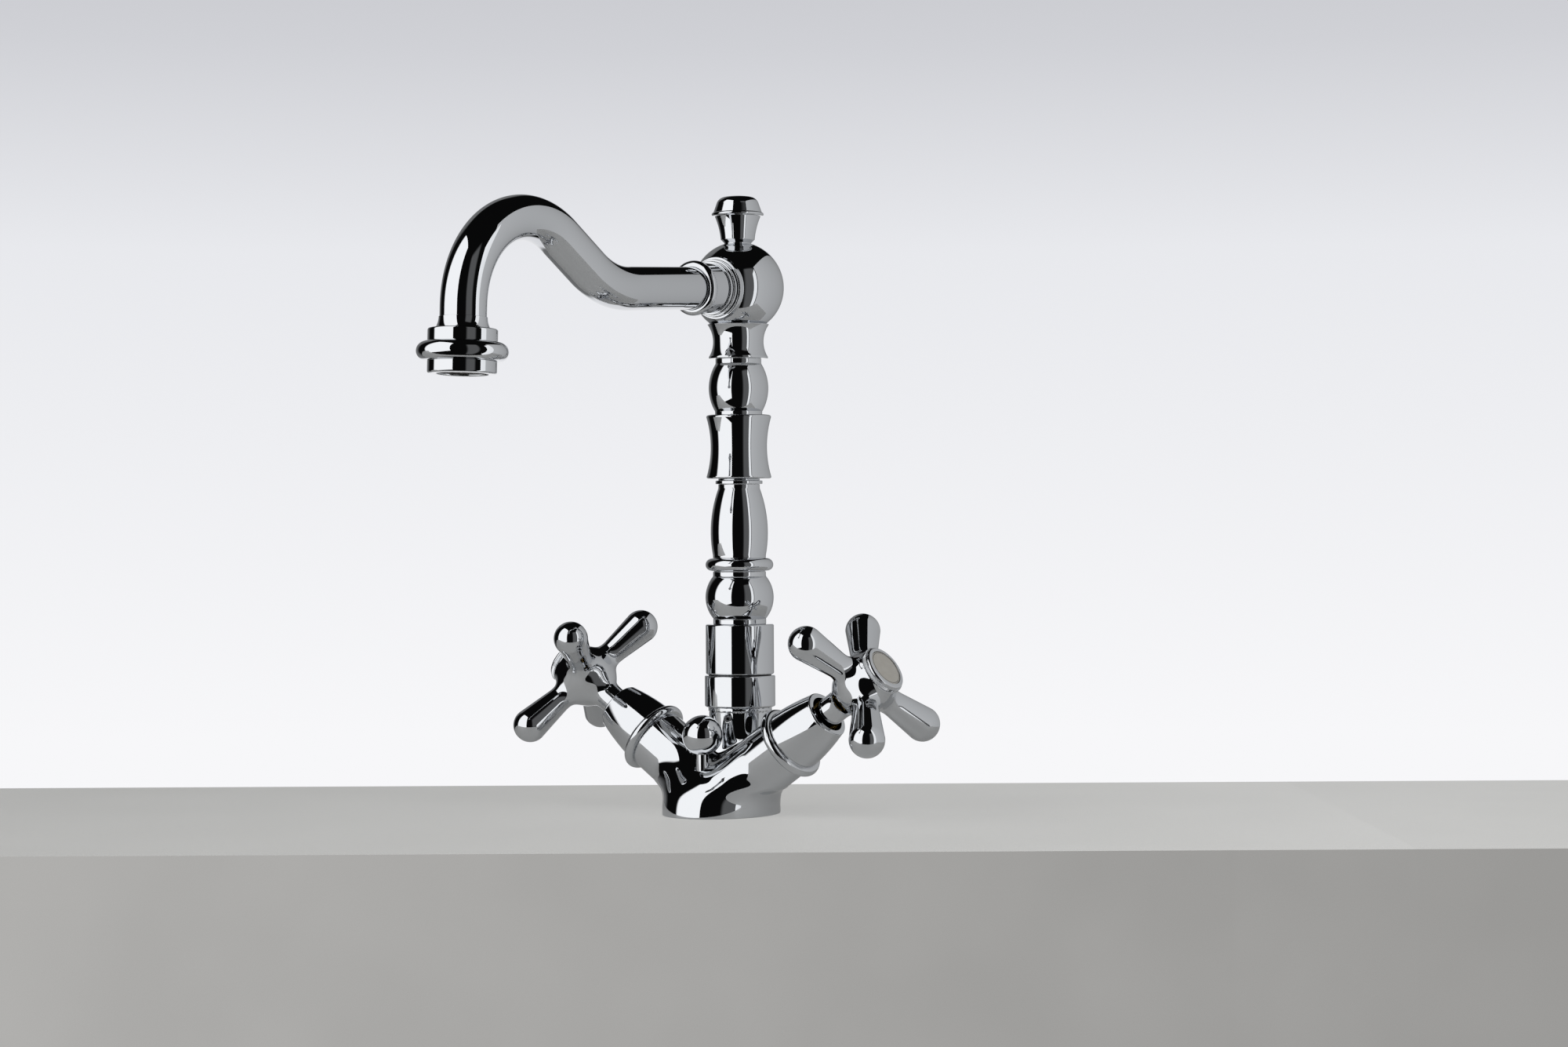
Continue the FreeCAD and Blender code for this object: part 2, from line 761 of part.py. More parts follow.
def on_outlet(shape):
    """Places a piece made on Z, with the outlet's rim at zero, on the end of the spout."""
    return placed(shape, in_space(spout_route()[-1]), FreeCAD.Rotation(V(1, 0, 0), -outlet_lean))


def outlet_ring():
    """End of the spout: flare on the tube, plain ring and torus bead, hollow below for the aerator."""
    cavity = aerator_thread_radius + seat_clearance
    torus_top = aerator_height + outlet_torus_height
    ring_top = torus_top + outlet_ring_height
    flare_end = ring_top + outlet_flare_height
    bore = tube_radius + seat_clearance
    feather = bore + outlet_feather
    sweep = ((feather * 3 + outlet_flare_radius) / 4, (flare_end + ring_top) / 2)
    return on_outlet(turned(
        (cavity, aerator_height),
        [(outlet_ring_radius, aerator_height)],
        [(outlet_torus_radius, (aerator_height + torus_top) / 2), (outlet_ring_radius, torus_top)],
        [(outlet_ring_radius, ring_top - turned_edge)],
        [(outlet_ring_radius - turned_edge, ring_top)],
        [(outlet_flare_radius, ring_top)],
        [sweep, (feather, flare_end)],
        [(bore, flare_end)],
        [(bore, outlet_tube_end)],
        [(tube_bore_radius, outlet_tube_end)],
        [(tube_bore_radius, thread_cavity_top)],
        [(cavity, thread_cavity_top)],
    ))


def aerator_housing():
    """Screwed ring that holds the aerator, with a ledge at its rim."""
    ledge = aerator_bore_radius - aerator_rim_ledge
    thread_top = aerator_height + aerator_thread_height
    return on_outlet(turned(
        (ledge, 0),
        [(aerator_radius - turned_edge, 0)],
        [(aerator_radius, turned_edge)],
        [(aerator_radius, aerator_height)],
        [(aerator_thread_radius, aerator_height)],
        [(aerator_thread_radius, thread_top)],
        [(aerator_bore_radius, thread_top)],
        [(aerator_bore_radius, aerator_rim_height)],
        [(ledge, aerator_rim_height)],
    ))


def aerator_insert():
    """Cup with a perforated floor that breaks up the jet."""
    outer = aerator_bore_radius - seat_clearance
    top = thread_cavity_top - aerator_seal_thickness - seat_clearance
    floor_top = aerator_rim_height + aerator_web
    inside = pin(outer - aerator_insert_wall, floor_top, top + cut_overrun)
    cup = pin(outer, aerator_rim_height, top).cut(inside)
    hole = pin(aerator_hole_radius, aerator_rim_height - cut_overrun, floor_top + cut_overrun)
    holes = [hole]
    for ring in range(1, aerator_hole_rings + 1):
        for turn in range(6 * ring):
            angle = math.radians(60 * turn / ring)
            place = V(math.cos(angle), math.sin(angle), 0) * (ring * aerator_hole_pitch)
            holes.append(placed(hole, place, FreeCAD.Rotation()))
    return on_outlet(cup.cut(holes))


def aerator_seal():
    """Flat washer between the aerator and the end of the spout."""
    outer = aerator_bore_radius - seat_clearance
    top = thread_cavity_top - seat_clearance
    return on_outlet(tube(outer, tube_bore_radius, top - aerator_seal_thickness, top))


def lift_rod():
    """Rod of the pop-up waste, from the deck up into its knob."""
    top = knob_height - knob_radius + rod_engagement
    return placed(pin(rod_radius, rod_foot_gap, top), V(0, -rod_offset, 0), FreeCAD.Rotation())


def lift_knob():
    """Ball knob on the lift rod."""
    ball = Part.makeSphere(knob_radius, V(0, 0, knob_height))
    foot = knob_height - knob_radius
    socket = pin(rod_radius + seat_clearance, foot - cut_overrun, foot + rod_engagement + seat_clearance)
    return placed(ball.cut(socket), V(0, -rod_offset, 0), FreeCAD.Rotation())


def seat_seal():
    """Rubber ring between a valve and its seat in the arm."""
    return tube(valve_radius, valve_radius - seat_seal_width, seat_reach, fixed_disc_reach)


def valve_disc(foot, across):
    """Ceramic disc with two ports, which lie along the given direction."""
    disc = pin(disc_radius, foot, foot + disc_thickness)
    port = pin(disc_port_radius, foot - cut_overrun, foot + disc_thickness + cut_overrun)
    ports = [placed(port, across * disc_port_offset * end, FreeCAD.Rotation()) for end in (1, -1)]
    return disc.cut(ports)


def fixed_disc():
    """Disc that stays with the valve body, its ports over the waterways."""
    return valve_disc(fixed_disc_reach, V(1, 0, 0))


def moving_disc():
    """Disc that turns with the spindle; closed, its ports lie across those of the fixed disc."""
    return valve_disc(moving_disc_reach, V(0, 1, 0))


def spindle():
    """Valve spindle with its drive flange and the tapped hole for the handle screw."""
    flange = pin(spindle_flange_radius, flange_reach, flange_top)
    shaft = pin(spindle_radius, flange_reach, spindle_top)
    tapped_foot = hub_floor - screw_length - seat_clearance
    tapped = pin(screw_radius + seat_clearance, tapped_foot, spindle_top + cut_overrun)
    return flange.fuse(shaft).removeSplitter().cut(tapped)


def headwork_body():
    """Valve body: skirt in the arm, hexagon on its end face and bonnet round the spindle."""
    chamber_top = flange_top + lapped_gap
    skirt = pin(valve_radius, fixed_disc_reach, arm_length)
    corners = []
    for corner in range(7):
        turn = math.radians(60 * corner)
        corners.append(V(valve_hex_radius * math.cos(turn), valve_hex_radius * math.sin(turn), arm_length))
    hexagon = Part.Face(Part.makePolygon(corners)).extrude(V(0, 0, valve_hex_height))
    bonnet = pin(bonnet_radius, bonnet_reach, bonnet_top)
    solid = skirt.multiFuse([hexagon, bonnet]).removeSplitter()
    chamber = pin(disc_radius + running_clearance, fixed_disc_reach - cut_overrun, chamber_top)
    bore = pin(spindle_radius + running_clearance, fixed_disc_reach, bonnet_top + cut_overrun)
    seal_height = bonnet_reach + o_ring_seat_height
    groove = pin(
        spindle_radius + running_clearance + 2 * o_ring_radius + seat_clearance,
        seal_height - o_ring_radius - seat_clearance,
        seal_height + o_ring_radius + seat_clearance,
    )
    return solid.cut([chamber, bore, groove])


def spindle_o_ring():
    """Seal round the spindle in the bonnet."""
    middle = spindle_radius + running_clearance + o_ring_radius
    return o_ring(middle, o_ring_radius, bonnet_reach + o_ring_seat_height)


def valve_shroud():
    """Conical cover with a bead at its foot and an open, thick-lipped mouth."""
    inner = valve_hex_radius + seat_clearance
    inner_top = bonnet_reach + seat_clearance
    bead_top = arm_length + 2 * bead_round
    bead_edge = bead_radius - bead_round
    lip_foot = shroud_mouth - shroud_lip_radius
    swell = ((shroud_foot_radius + shroud_mouth_radius) / 2 + shroud_swell, (bead_top + lip_foot) / 2)
    corner = shroud_lip_radius * (1 - math.sqrt(0.5))
    return turned(
        (inner, arm_length),
        [(bead_edge, arm_length)],
        [(bead_radius, arm_length + bead_round), (bead_edge, bead_top)],
        [(shroud_foot_radius, bead_top)],
        [swell, (shroud_mouth_radius, lip_foot)],
        [
            (shroud_mouth_radius - corner, shroud_mouth - corner),
            (shroud_mouth_radius - shroud_lip_radius, shroud_mouth),
        ],
        [(shroud_mouth_radius - shroud_wall, shroud_mouth)],
        [(inner, inner_top)],
    )


def handle_arm():
    """One arm of the cross on Z: a cone that runs into a ball tip."""
    way = arm_tip_reach - arm_waist_reach
    distance = math.hypot(way, arm_waist_radius)
    slope = math.asin(arm_tip_radius / distance) - math.atan2(arm_waist_radius, way)
    root_radius = arm_waist_radius - arm_waist_reach * math.tan(slope)
    touch_radius = arm_tip_radius * math.cos(slope)
    touch_reach = arm_tip_reach - arm_tip_radius * math.sin(slope)
    tip = math.radians(45) - slope / 2
    return turned(
        (0, 0),
        [(root_radius, 0)],
        [(touch_radius, touch_reach)],
        [
            (arm_tip_radius * math.cos(tip), arm_tip_reach + arm_tip_radius * math.sin(tip)),
            (0, arm_tip_reach + arm_tip_radius),
        ],
    )


def cross_handle(side):
    """Cross handle: neck, egg-shaped hub and four arms, bored for the spindle, the screw and the button."""
    hub = turned(
        (0, neck_foot),
        [(handle_neck_radius, neck_foot)],
        [(handle_neck_radius, cross_reach - hub_root_depth)],
        [(hub_radius, cross_reach), (hub_top_radius, hub_top)],
        [(0, hub_top)],
    )
    arm = handle_arm()
    arms = []
    for number in range(handle_arms):
        bearing = 45 + side * handle_roll + 360 * number / handle_arms
        turn = FreeCAD.Rotation(V(0, 0, 1), bearing).multiply(FreeCAD.Rotation(V(0, 1, 0), 90))
        arms.append(placed(arm, V(0, 0, cross_reach), turn))
    handle = hub.multiFuse(arms).removeSplitter()
    button_bore = pin(hub_bore_radius, hub_floor, hub_top + cut_overrun)
    screw_hole = pin(screw_radius + seat_clearance, spindle_top, hub_floor + cut_overrun)
    socket = pin(spindle_radius + seat_clearance, neck_foot - cut_overrun, spindle_top + socket_end_gap)
    return handle.cut([button_bore, screw_hole, socket])


def handle_screw():
    """Socket screw that holds the handle on its spindle."""
    head = pin(screw_head_radius, hub_floor, hub_floor + screw_head_height)
    shank = pin(screw_radius, hub_floor - screw_length, hub_floor)
    top = hub_floor + screw_head_height
    socket = pin(screw_socket_radius, top - screw_socket_depth, top + cut_overrun)
    return head.fuse(shank).removeSplitter().cut(socket)


def index_bezel():
    """Knurled bezel of the index button, pushed into the hub."""
    spigot = hub_bore_radius - seat_clearance
    inner = spigot - bezel_spigot_wall
    recess = index_disc_radius + seat_clearance
    floor = bezel_top - index_disc_recess - index_disc_thickness
    bezel = turned(
        (inner, hub_top - bezel_spigot_depth),
        [(spigot, hub_top - bezel_spigot_depth)],
        [(spigot, hub_top)],
        [(bezel_radius, hub_top)],
        [(bezel_radius, bezel_top - bezel_chamfer)],
        [(bezel_radius - bezel_chamfer, bezel_top)],
        [(recess, bezel_top)],
        [(recess, floor)],
        [(inner, floor)],
    )
    notch = pin(knurl_depth, hub_top, hub_top + knurl_height)
    notches = []
    for number in range(knurl_count):
        angle = math.radians(360 * number / knurl_count)
        place = V(math.cos(angle), math.sin(angle), 0) * bezel_radius
        notches.append(placed(notch, place, FreeCAD.Rotation()))
    return bezel.cut(notches)


def index_disc():
    """Porcelain disc in the bezel."""
    top = bezel_top - index_disc_recess
    return pin(index_disc_radius, top - index_disc_thickness, top)


def pieces():
    """Every node of the tap by name."""
    found = {
        "mixer_body": mixer_body(),
        "base_gasket": gasket(0, 0),
        "rod_guide_bush": rod_guide_bush(),
        "grub_screw": grub_screw(),
        "column_collar": column_collar(),
        "swivel_washer": swivel_washer(),
        "swivel_pin": swivel_pin(),
        "swivel_o_rings": swivel_o_rings(),
        "swivel_sleeve": swivel_sleeve(),
        "column_shaft": column_shaft(),
        "ball_head": ball_head(),
        "finial": finial(),
        "spout_tube": spout_tube(),
        "spout_collar": spout_collar(),
        "spout_o_ring": spout_o_ring(),
        "outlet_ring": outlet_ring(),
        "aerator_housing": aerator_housing(),
        "aerator_insert": aerator_insert(),
        "aerator_seal": aerator_seal(),
        "lift_rod": lift_rod(),
        "lift_knob": lift_knob(),
    }
    for name, side in (("hot", -1), ("cold", 1)):
        found[name + "_seat_seal"] = on_arm(seat_seal(), side)
        found[name + "_fixed_disc"] = on_arm(fixed_disc(), side)
        found[name + "_moving_disc"] = on_arm(moving_disc(), side)
        found[name + "_spindle"] = on_arm(spindle(), side)
        found[name + "_spindle_o_ring"] = on_arm(spindle_o_ring(), side)
        found[name + "_headwork_body"] = on_arm(headwork_body(), side)
        found[name + "_valve_shroud"] = on_arm(valve_shroud(), side)
        found[name + "_cross_handle"] = on_arm(cross_handle(side), side)
        found[name + "_handle_screw"] = on_arm(handle_screw(), side)
        found[name + "_index_bezel"] = on_arm(index_bezel(), side)
        found[name + "_index_disc"] = on_arm(index_disc(), side)
    return found


os.makedirs("parts", exist_ok=True)
for node, shape in pieces().items():
    shape.exportStep("parts/" + node + ".step")
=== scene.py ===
"""Looks of a two-handle basin mixer tap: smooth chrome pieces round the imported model, a pale shelf
and soft studio light. Lengths are written in millimetres and become metres in the meshes."""

import math

import bpy
import numpy as np
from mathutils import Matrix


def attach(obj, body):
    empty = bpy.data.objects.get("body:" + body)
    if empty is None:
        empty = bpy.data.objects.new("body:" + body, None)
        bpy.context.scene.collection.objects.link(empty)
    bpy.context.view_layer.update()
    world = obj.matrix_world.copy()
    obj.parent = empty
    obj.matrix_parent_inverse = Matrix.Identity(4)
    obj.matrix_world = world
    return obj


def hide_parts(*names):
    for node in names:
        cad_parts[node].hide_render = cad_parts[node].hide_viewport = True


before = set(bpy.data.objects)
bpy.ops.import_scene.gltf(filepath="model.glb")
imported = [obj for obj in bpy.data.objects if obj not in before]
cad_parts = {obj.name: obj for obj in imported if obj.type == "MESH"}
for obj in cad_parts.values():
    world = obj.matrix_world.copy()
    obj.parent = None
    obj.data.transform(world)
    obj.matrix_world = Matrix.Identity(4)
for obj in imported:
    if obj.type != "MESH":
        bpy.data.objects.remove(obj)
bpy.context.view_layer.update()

MM = 0.001
METRE = 1000
UP = np.array((0.0, 0.0, 1.0))

# Sizes of the tap, the same as in its solids
foot_half_width = 23.0
foot_half_depth = 26.9
arm_angle = math.radians(34.5)
arm_crossing = np.array((0.0, 0.0, 6.5))
arm_length = 40.0
arm_radius = 13.2
arm_bend_reach = 28.0
column_offset = 13.7
column_foot = np.array((0.0, column_offset, 0.0))
neck_radius = 13.0
neck_top = 43.4
collar_top = 56.5
sleeve_foot = 56.95
sleeve_top = 77.75
cross_reach = 85.8
spout_fall = math.radians(3.8)
outlet_lean = math.radians(2.3)
tube_radius = 8.74
tube_bore_radius = 7.5
rod_offset = 13.3


def unit(vector):
    """The vector at length one."""
    vector = np.asarray(vector, float)
    return vector / np.linalg.norm(vector)


def stand(origin, axis, side):
    """Where a piece stands: its origin, two directions across and its own axis."""
    axis = unit(axis)
    across = unit(np.cross(side, axis))
    return np.asarray(origin, float), across, np.cross(axis, across), axis


def arm_axis(side):
    """Direction of a valve arm: 1 is cold, -1 is hot."""
    return np.array((side * math.cos(arm_angle), 0.0, math.sin(arm_angle)))


ON_COLUMN = stand(column_foot, UP, (0, 1, 0))
ON_ROD = stand((0, -rod_offset, 0), UP, (0, 1, 0))
ON_ARM = {side: stand(arm_crossing, arm_axis(side), (0, 1, 0)) for side in (1, -1)}


def arc(first, middle, last):
    """Circle arc through three points, with its direction at each point, in steps of at most 3 degrees."""
    first, middle, last = (np.asarray(point, float) for point in (first, middle, last))
    a, b = middle - first, last - first
    cross = 2 * (a[0] * b[1] - a[1] * b[0])
    centre = first + np.array((b[1] * (a @ a) - a[1] * (b @ b), a[0] * (b @ b) - b[0] * (a @ a))) / cross
    radius = np.linalg.norm(first - centre)
    start = math.atan2(*(first - centre)[::-1])
    turn_middle = (math.atan2(*(middle - centre)[::-1]) - start) % (2 * math.pi)
    turn_last = (math.atan2(*(last - centre)[::-1]) - start) % (2 * math.pi)
    if turn_middle > turn_last:
        turn_last -= 2 * math.pi
    steps = int(abs(math.degrees(turn_last)) / 3) + 3
    angle = start + np.linspace(0, turn_last, steps)
    points = centre + radius * np.stack([np.cos(angle), np.sin(angle)], 1)
    directions = np.sign(turn_last) * np.stack([-np.sin(angle), np.cos(angle)], 1)
    return points, directions


def trimmed(run, start, end):
    """A run of points cut short by a length at its start and at its end."""
    steps = np.linalg.norm(np.diff(run[0], axis=0), axis=1)
    along = np.concatenate([[0], np.cumsum(steps)])
    inside = along[(along > start) & (along < along[-1] - end)]
    stops = np.concatenate([[start], inside, [along[-1] - end]])
    cut = [np.stack([np.interp(stops, along, part[:, k]) for k in (0, 1)], 1) for part in run]
    return cut[0], cut[1]


SMOOTH_JOINT = math.cos(math.radians(2))
LARGEST_CUT = 0.45
CORNER_POINTS = 8


def outline(start, *steps, edge=0.25, closed=False):
    """Profile of (radius, height) points with the outward normal at each. A step is one point for a
    line or two for an arc through the first. Every corner is a small curve that starts the edge length
    before it, or a share of a line that is shorter."""
    runs = []
    here = start
    for step in steps + (([start],) if closed else ()):
        if len(step) == 1:
            points = np.array([here, step[0]], float)
            way = unit(points[1] - points[0])
            runs.append((points, np.stack([way, way])))
        else:
            runs.append(arc(here, *step))
        here = step[-1]
    count = len(runs)
    lengths = [np.linalg.norm(np.diff(points, axis=0), axis=1).sum() for points, _ in runs]
    cuts = np.zeros((count, 2))
    for k in range(count if closed else count - 1):
        after = (k + 1) % count
        if runs[k][1][-1] @ runs[after][1][0] < SMOOTH_JOINT:
            reach = min(edge, LARGEST_CUT * lengths[k], LARGEST_CUT * lengths[after])
            cuts[k, 1] = reach
            cuts[after, 0] = reach
    points, directions = [], []
    share = np.linspace(0, 1, CORNER_POINTS)[1:-1, None]
    for k in range(count):
        run = trimmed(runs[k], *cuts[k])
        points.append(run[0])
        directions.append(run[1])
        if cuts[k, 1] > 0:
            after = (k + 1) % count
            first, corner = run[0][-1], runs[k][0][-1]
            last = trimmed(runs[after], *cuts[after])[0][0]
            rounded = (1 - share) ** 2 * first + 2 * share * (1 - share) * corner + share ** 2 * last
            points.append(rounded)
            bend = (1 - share) * (corner - first) + share * (last - corner)
            directions.append(bend / np.linalg.norm(bend, axis=1, keepdims=True))
    points, directions = np.concatenate(points), np.concatenate(directions)
    apart = np.linalg.norm(points - np.roll(points, 1, 0), axis=1) > 1e-7
    if not closed:
        apart[0] = True
    directions = directions[apart] / np.linalg.norm(directions[apart], axis=1, keepdims=True)
    return points[apart], np.stack([directions[:, 1], -directions[:, 0]], 1), closed


def grid_faces(points, wrap_rows):
    """Faces of a grid of rows by columns that closes along its columns. A row that is one point is a
    pole."""
    rows, columns = points.shape[:2]
    index = np.arange(rows * columns).reshape(rows, columns)
    pole = np.ptp(points, axis=1).max(axis=1) < 1e-6
    index[pole] = index[pole][:, :1]
    if wrap_rows:
        index = np.vstack([index, index[:1]])
    index = np.hstack([index, index[:, :1]])
    around = [index[:-1, :-1], index[:-1, 1:], index[1:, 1:], index[1:, :-1]]
    quads = np.stack(around, -1).reshape(-1, 4)
    low_pole = quads[:, 0] == quads[:, 1]
    high_pole = quads[:, 2] == quads[:, 3]
    faces = quads[~low_pole & ~high_pole].tolist()
    faces += quads[low_pole & ~high_pole][:, [0, 2, 3]].tolist()
    faces += quads[high_pole & ~low_pole][:, [0, 1, 2]].tolist()
    return faces


def piece(name, shells, body, nodes, finish):
    """Makes one object of shells of (points, normals, faces), rides it on its body and hides the nodes it
    stands for. The normals are kept, so that reflections run smoothly over each curve."""
    points, normals, faces = [], [], []
    for shell_points, shell_normals, shell_faces in shells:
        shift = sum(len(part) for part in points)
        used = np.unique(np.concatenate([np.ravel(face) for face in shell_faces]))
        renumber = np.full(len(shell_points), -1)
        renumber[used] = np.arange(len(used)) + shift
        points.append(shell_points[used])
        normals.append(shell_normals[used])
        faces += [renumber[face].tolist() for face in shell_faces]
    mesh = bpy.data.meshes.new(name)
    mesh.from_pydata((np.concatenate(points) * MM).tolist(), [], faces)
    mesh.polygons.foreach_set("use_smooth", np.ones(len(mesh.polygons), bool))
    directions = np.concatenate(normals)
    directions = directions / np.maximum(np.linalg.norm(directions, axis=1, keepdims=True), 1e-9)
    mesh.normals_split_custom_set_from_vertices(directions.tolist())
    mesh.materials.append(finish)
    thing = bpy.data.objects.new(name, mesh)
    bpy.context.scene.collection.objects.link(thing)
    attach(thing, body)
    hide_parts(*nodes)
    return thing


COLUMNS = 160


def turned(profile, place, columns=COLUMNS):
    """Profile carried round an axis: point = origin + radius (cos t across + sin t other) + height axis."""
    points, normals, closed = profile
    origin, across, other, axis = place
    turn = np.linspace(0, 2 * math.pi, columns, endpoint=False)
    ring = np.cos(turn)[:, None] * across + np.sin(turn)[:, None] * other
    grid = origin + points[:, :1, None] * ring + points[:, 1:, None] * axis
    slopes = normals[:, :1, None] * ring + normals[:, 1:, None] * axis
    faces = grid_faces(grid, closed)
    return grid.reshape(-1, 3), slopes.reshape(-1, 3), faces


def smooth_min(a, b, width):
    """The smaller of two distances, blended by a cubic where they are closer than the width."""
    near = np.maximum(width - np.abs(a - b), 0) / width
    return np.minimum(a, b) - near ** 3 * width / 6


def smooth_max(a, b, width):
    """The larger of two distances, blended by a cubic where they are closer than the width."""
    return -smooth_min(-a, -b, width)


def ease(value, low, high):
    """Runs from 0 at low to 1 at high with level ends."""
    share = np.clip((value - low) / (high - low), 0, 1)
    return share * share * (3 - 2 * share)


def bar(points, origin, axis, start, end, radius):
    """Distance to a round bar along an axis from start to end."""
    away = points - origin
    along = away @ axis
    side = np.linalg.norm(away - along[:, None] * axis, axis=1) - radius
    cap = np.abs(along - (start + end) / 2) - (end - start) / 2
    return np.minimum(np.maximum(side, cap), 0) + np.hypot(np.maximum(side, 0), np.maximum(cap, 0))


def round_cone(points, first, last, first_radius, last_radius):
    """Distance to the cone that touches two balls."""
    axis = unit(last - first)
    length = np.linalg.norm(last - first)
    away = points - first
    along = away @ axis
    across = np.linalg.norm(away - along[:, None] * axis, axis=1)
    lean = (first_radius - last_radius) / length
    rise = math.sqrt(1 - lean * lean)
    share = along * rise - across * lean
    flank = across * rise + along * lean - first_radius
    foot_ball = np.hypot(across, along) - first_radius
    tip_ball = np.hypot(across, along - length) - last_radius
    return np.where(share < 0, foot_ball, np.where(share > rise * length, tip_ball, flank))


CELL = 0.55
PROBE = 0.02
DRAWS = 7
LEAST_SLOPE = 0.05


def skin(distance, low, high, cell=CELL):
    """Closed surface where a distance is zero: one point in each cell of a grid that the surface crosses,
    at the mean of its crossings, then drawn onto the surface along the slope. The slope is the normal."""
    axes = [np.arange(a, b + cell, cell) for a, b in zip(low, high)]
    shape = tuple(len(axis) for axis in axes)
    lattice = np.stack(np.meshgrid(*axes, indexing="ij"), -1).reshape(-1, 3)
    value = np.concatenate([distance(part) for part in np.array_split(lattice, 16)]).reshape(shape)
    inside = value < 0
    cells = tuple(size - 1 for size in shape)
    total = np.zeros(cells + (3,))
    count = np.zeros(cells)
    crossings = []
    for axis in range(3):
        here = tuple(slice(0, -1) if k == axis else slice(None) for k in range(3))
        there = tuple(slice(1, None) if k == axis else slice(None) for k in range(3))
        spots = np.argwhere(inside[here] != inside[there])
        within = (spots > 0) & (spots < np.array(shape) - 1) | (np.arange(3) == axis)
        spots = spots[np.all(within, axis=1)]
        ahead = spots + np.eye(3, dtype=int)[axis]
        near, far = value[tuple(spots.T)], value[tuple(ahead.T)]
        place = spots.astype(float)
        place[:, axis] += near / (near - far)
        second, third = (axis + 1) % 3, (axis + 2) % 3
        ring = []
        for step_second, step_third in ((0, 0), (1, 0), (1, 1), (0, 1)):
            cell_spot = spots.copy()
            cell_spot[:, second] -= step_second
            cell_spot[:, third] -= step_third
            np.add.at(total, tuple(cell_spot.T), place)
            np.add.at(count, tuple(cell_spot.T), 1)
            ring.append(np.ravel_multi_index(tuple(cell_spot.T), cells))
        quads = np.stack(ring, 1)
        outward = inside[tuple(spots.T)]
        crossings.append(np.where(outward[:, None], quads, quads[:, ::-1]))
    quads = np.concatenate(crossings)
    used, quads = np.unique(quads, return_inverse=True)
    quads = quads.reshape(-1, 4)
    points = (total.reshape(-1, 3)[used] / count.reshape(-1)[used, None]) * cell + np.array(low)
    probes = np.eye(3) * PROBE
    for _ in range(DRAWS):
        slope = np.stack([distance(points + h) - distance(points - h) for h in probes], 1) / (2 * PROBE)
        size = np.maximum((slope ** 2).sum(1), LEAST_SLOPE)
        step = (distance(points) / size)[:, None] * slope
        points = points - np.clip(step, -cell / 2, cell / 2)
    slope = np.stack([distance(points + h) - distance(points - h) for h in probes], 1)
    slope /= np.maximum(np.linalg.norm(slope, axis=1, keepdims=True), 1e-9)
    return points, slope, quads.tolist()


def linear(code):
    """Linear colour of an sRGB hex value."""
    parts = np.array([int(code[k:k + 2], 16) for k in (1, 3, 5)]) / 255
    return (*np.where(parts <= 0.04045, parts / 12.92, ((parts + 0.055) / 1.055) ** 2.4), 1.0)


def add(tree, kind, links=None, **settings):
    """Adds a node with its settings and inputs: an input is a value or another node's socket."""
    node = tree.nodes.new(kind)
    for key, value in settings.items():
        setattr(node, key, value)
    for key, value in (links or {}).items():
        if isinstance(value, bpy.types.NodeSocket):
            tree.links.new(value, node.inputs[key])
        else:
            node.inputs[key].default_value = value
    return node


def maths(tree, kind, *terms):
    """Result of one sum of values or sockets."""
    return add(tree, "ShaderNodeMath", dict(enumerate(terms)), operation=kind).outputs[0]


def along_vector(tree, place, vector):
    """How far a place or a direction goes along a vector."""
    terms = {0: place, 1: tuple(vector)}
    return add(tree, "ShaderNodeVectorMath", terms, operation="DOT_PRODUCT").outputs["Value"]


def blended(tree, factor, first, last):
    """Colour between two, by a factor."""
    colours = {"Factor": factor, "A": first, "B": last}
    return add(tree, "ShaderNodeMix", colours, data_type="RGBA").outputs[2]


def material(name):
    """New material with its tree, its Principled shader and the piece's own coordinates in metres."""
    made = bpy.data.materials.new(name)
    made.use_nodes = True
    tree = made.node_tree
    shader = tree.nodes["Principled BSDF"]
    spot = add(tree, "ShaderNodeTexCoord").outputs["Object"]
    return made, tree, shader, spot


def mottled(tree, spot, size_mm, low, high, detail=3.0):
    """Noise of a size in millimetres, brought between two values."""
    scale = METRE / size_mm
    noise = add(tree, "ShaderNodeTexNoise", {"Vector": spot, "Scale": scale, "Detail": detail})
    return add(tree, "ShaderNodeMapRange", {
        "Value": noise.outputs["Fac"], "From Min": 0.3, "From Max": 0.7, "To Min": low, "To Max": high,
    }).outputs["Result"]


def polished_chrome():
    """Chrome plate on polished brass: a mirror with a cool tint and a very faint haze left by wiping."""
    made, tree, shader, spot = material("polished chrome plate")
    shader.inputs["Metallic"].default_value = 1.0
    shader.inputs["Base Color"].default_value = linear("#D5D7DA")
    tree.links.new(mottled(tree, spot, 9, 0.012, 0.03), shader.inputs["Roughness"])
    swell = mottled(tree, spot, 14, 0.0, 1.0, 1.0)
    bump = add(tree, "ShaderNodeBump", {"Height": swell, "Distance": 0.00001, "Strength": 0.3})
    tree.links.new(bump.outputs["Normal"], shader.inputs["Normal"])
    return made


def machined_brass():
    """Turned brass: warm metal with fine tool marks and dull patches."""
    made, tree, shader, spot = material("machined brass")
    shader.inputs["Metallic"].default_value = 1.0
    tint = blended(tree, mottled(tree, spot, 5, 0.0, 1.0), linear("#C9A45C"), linear("#A8823E"))
    tree.links.new(tint, shader.inputs["Base Color"])
    tree.links.new(mottled(tree, spot, 1.2, 0.22, 0.38), shader.inputs["Roughness"])
    return made


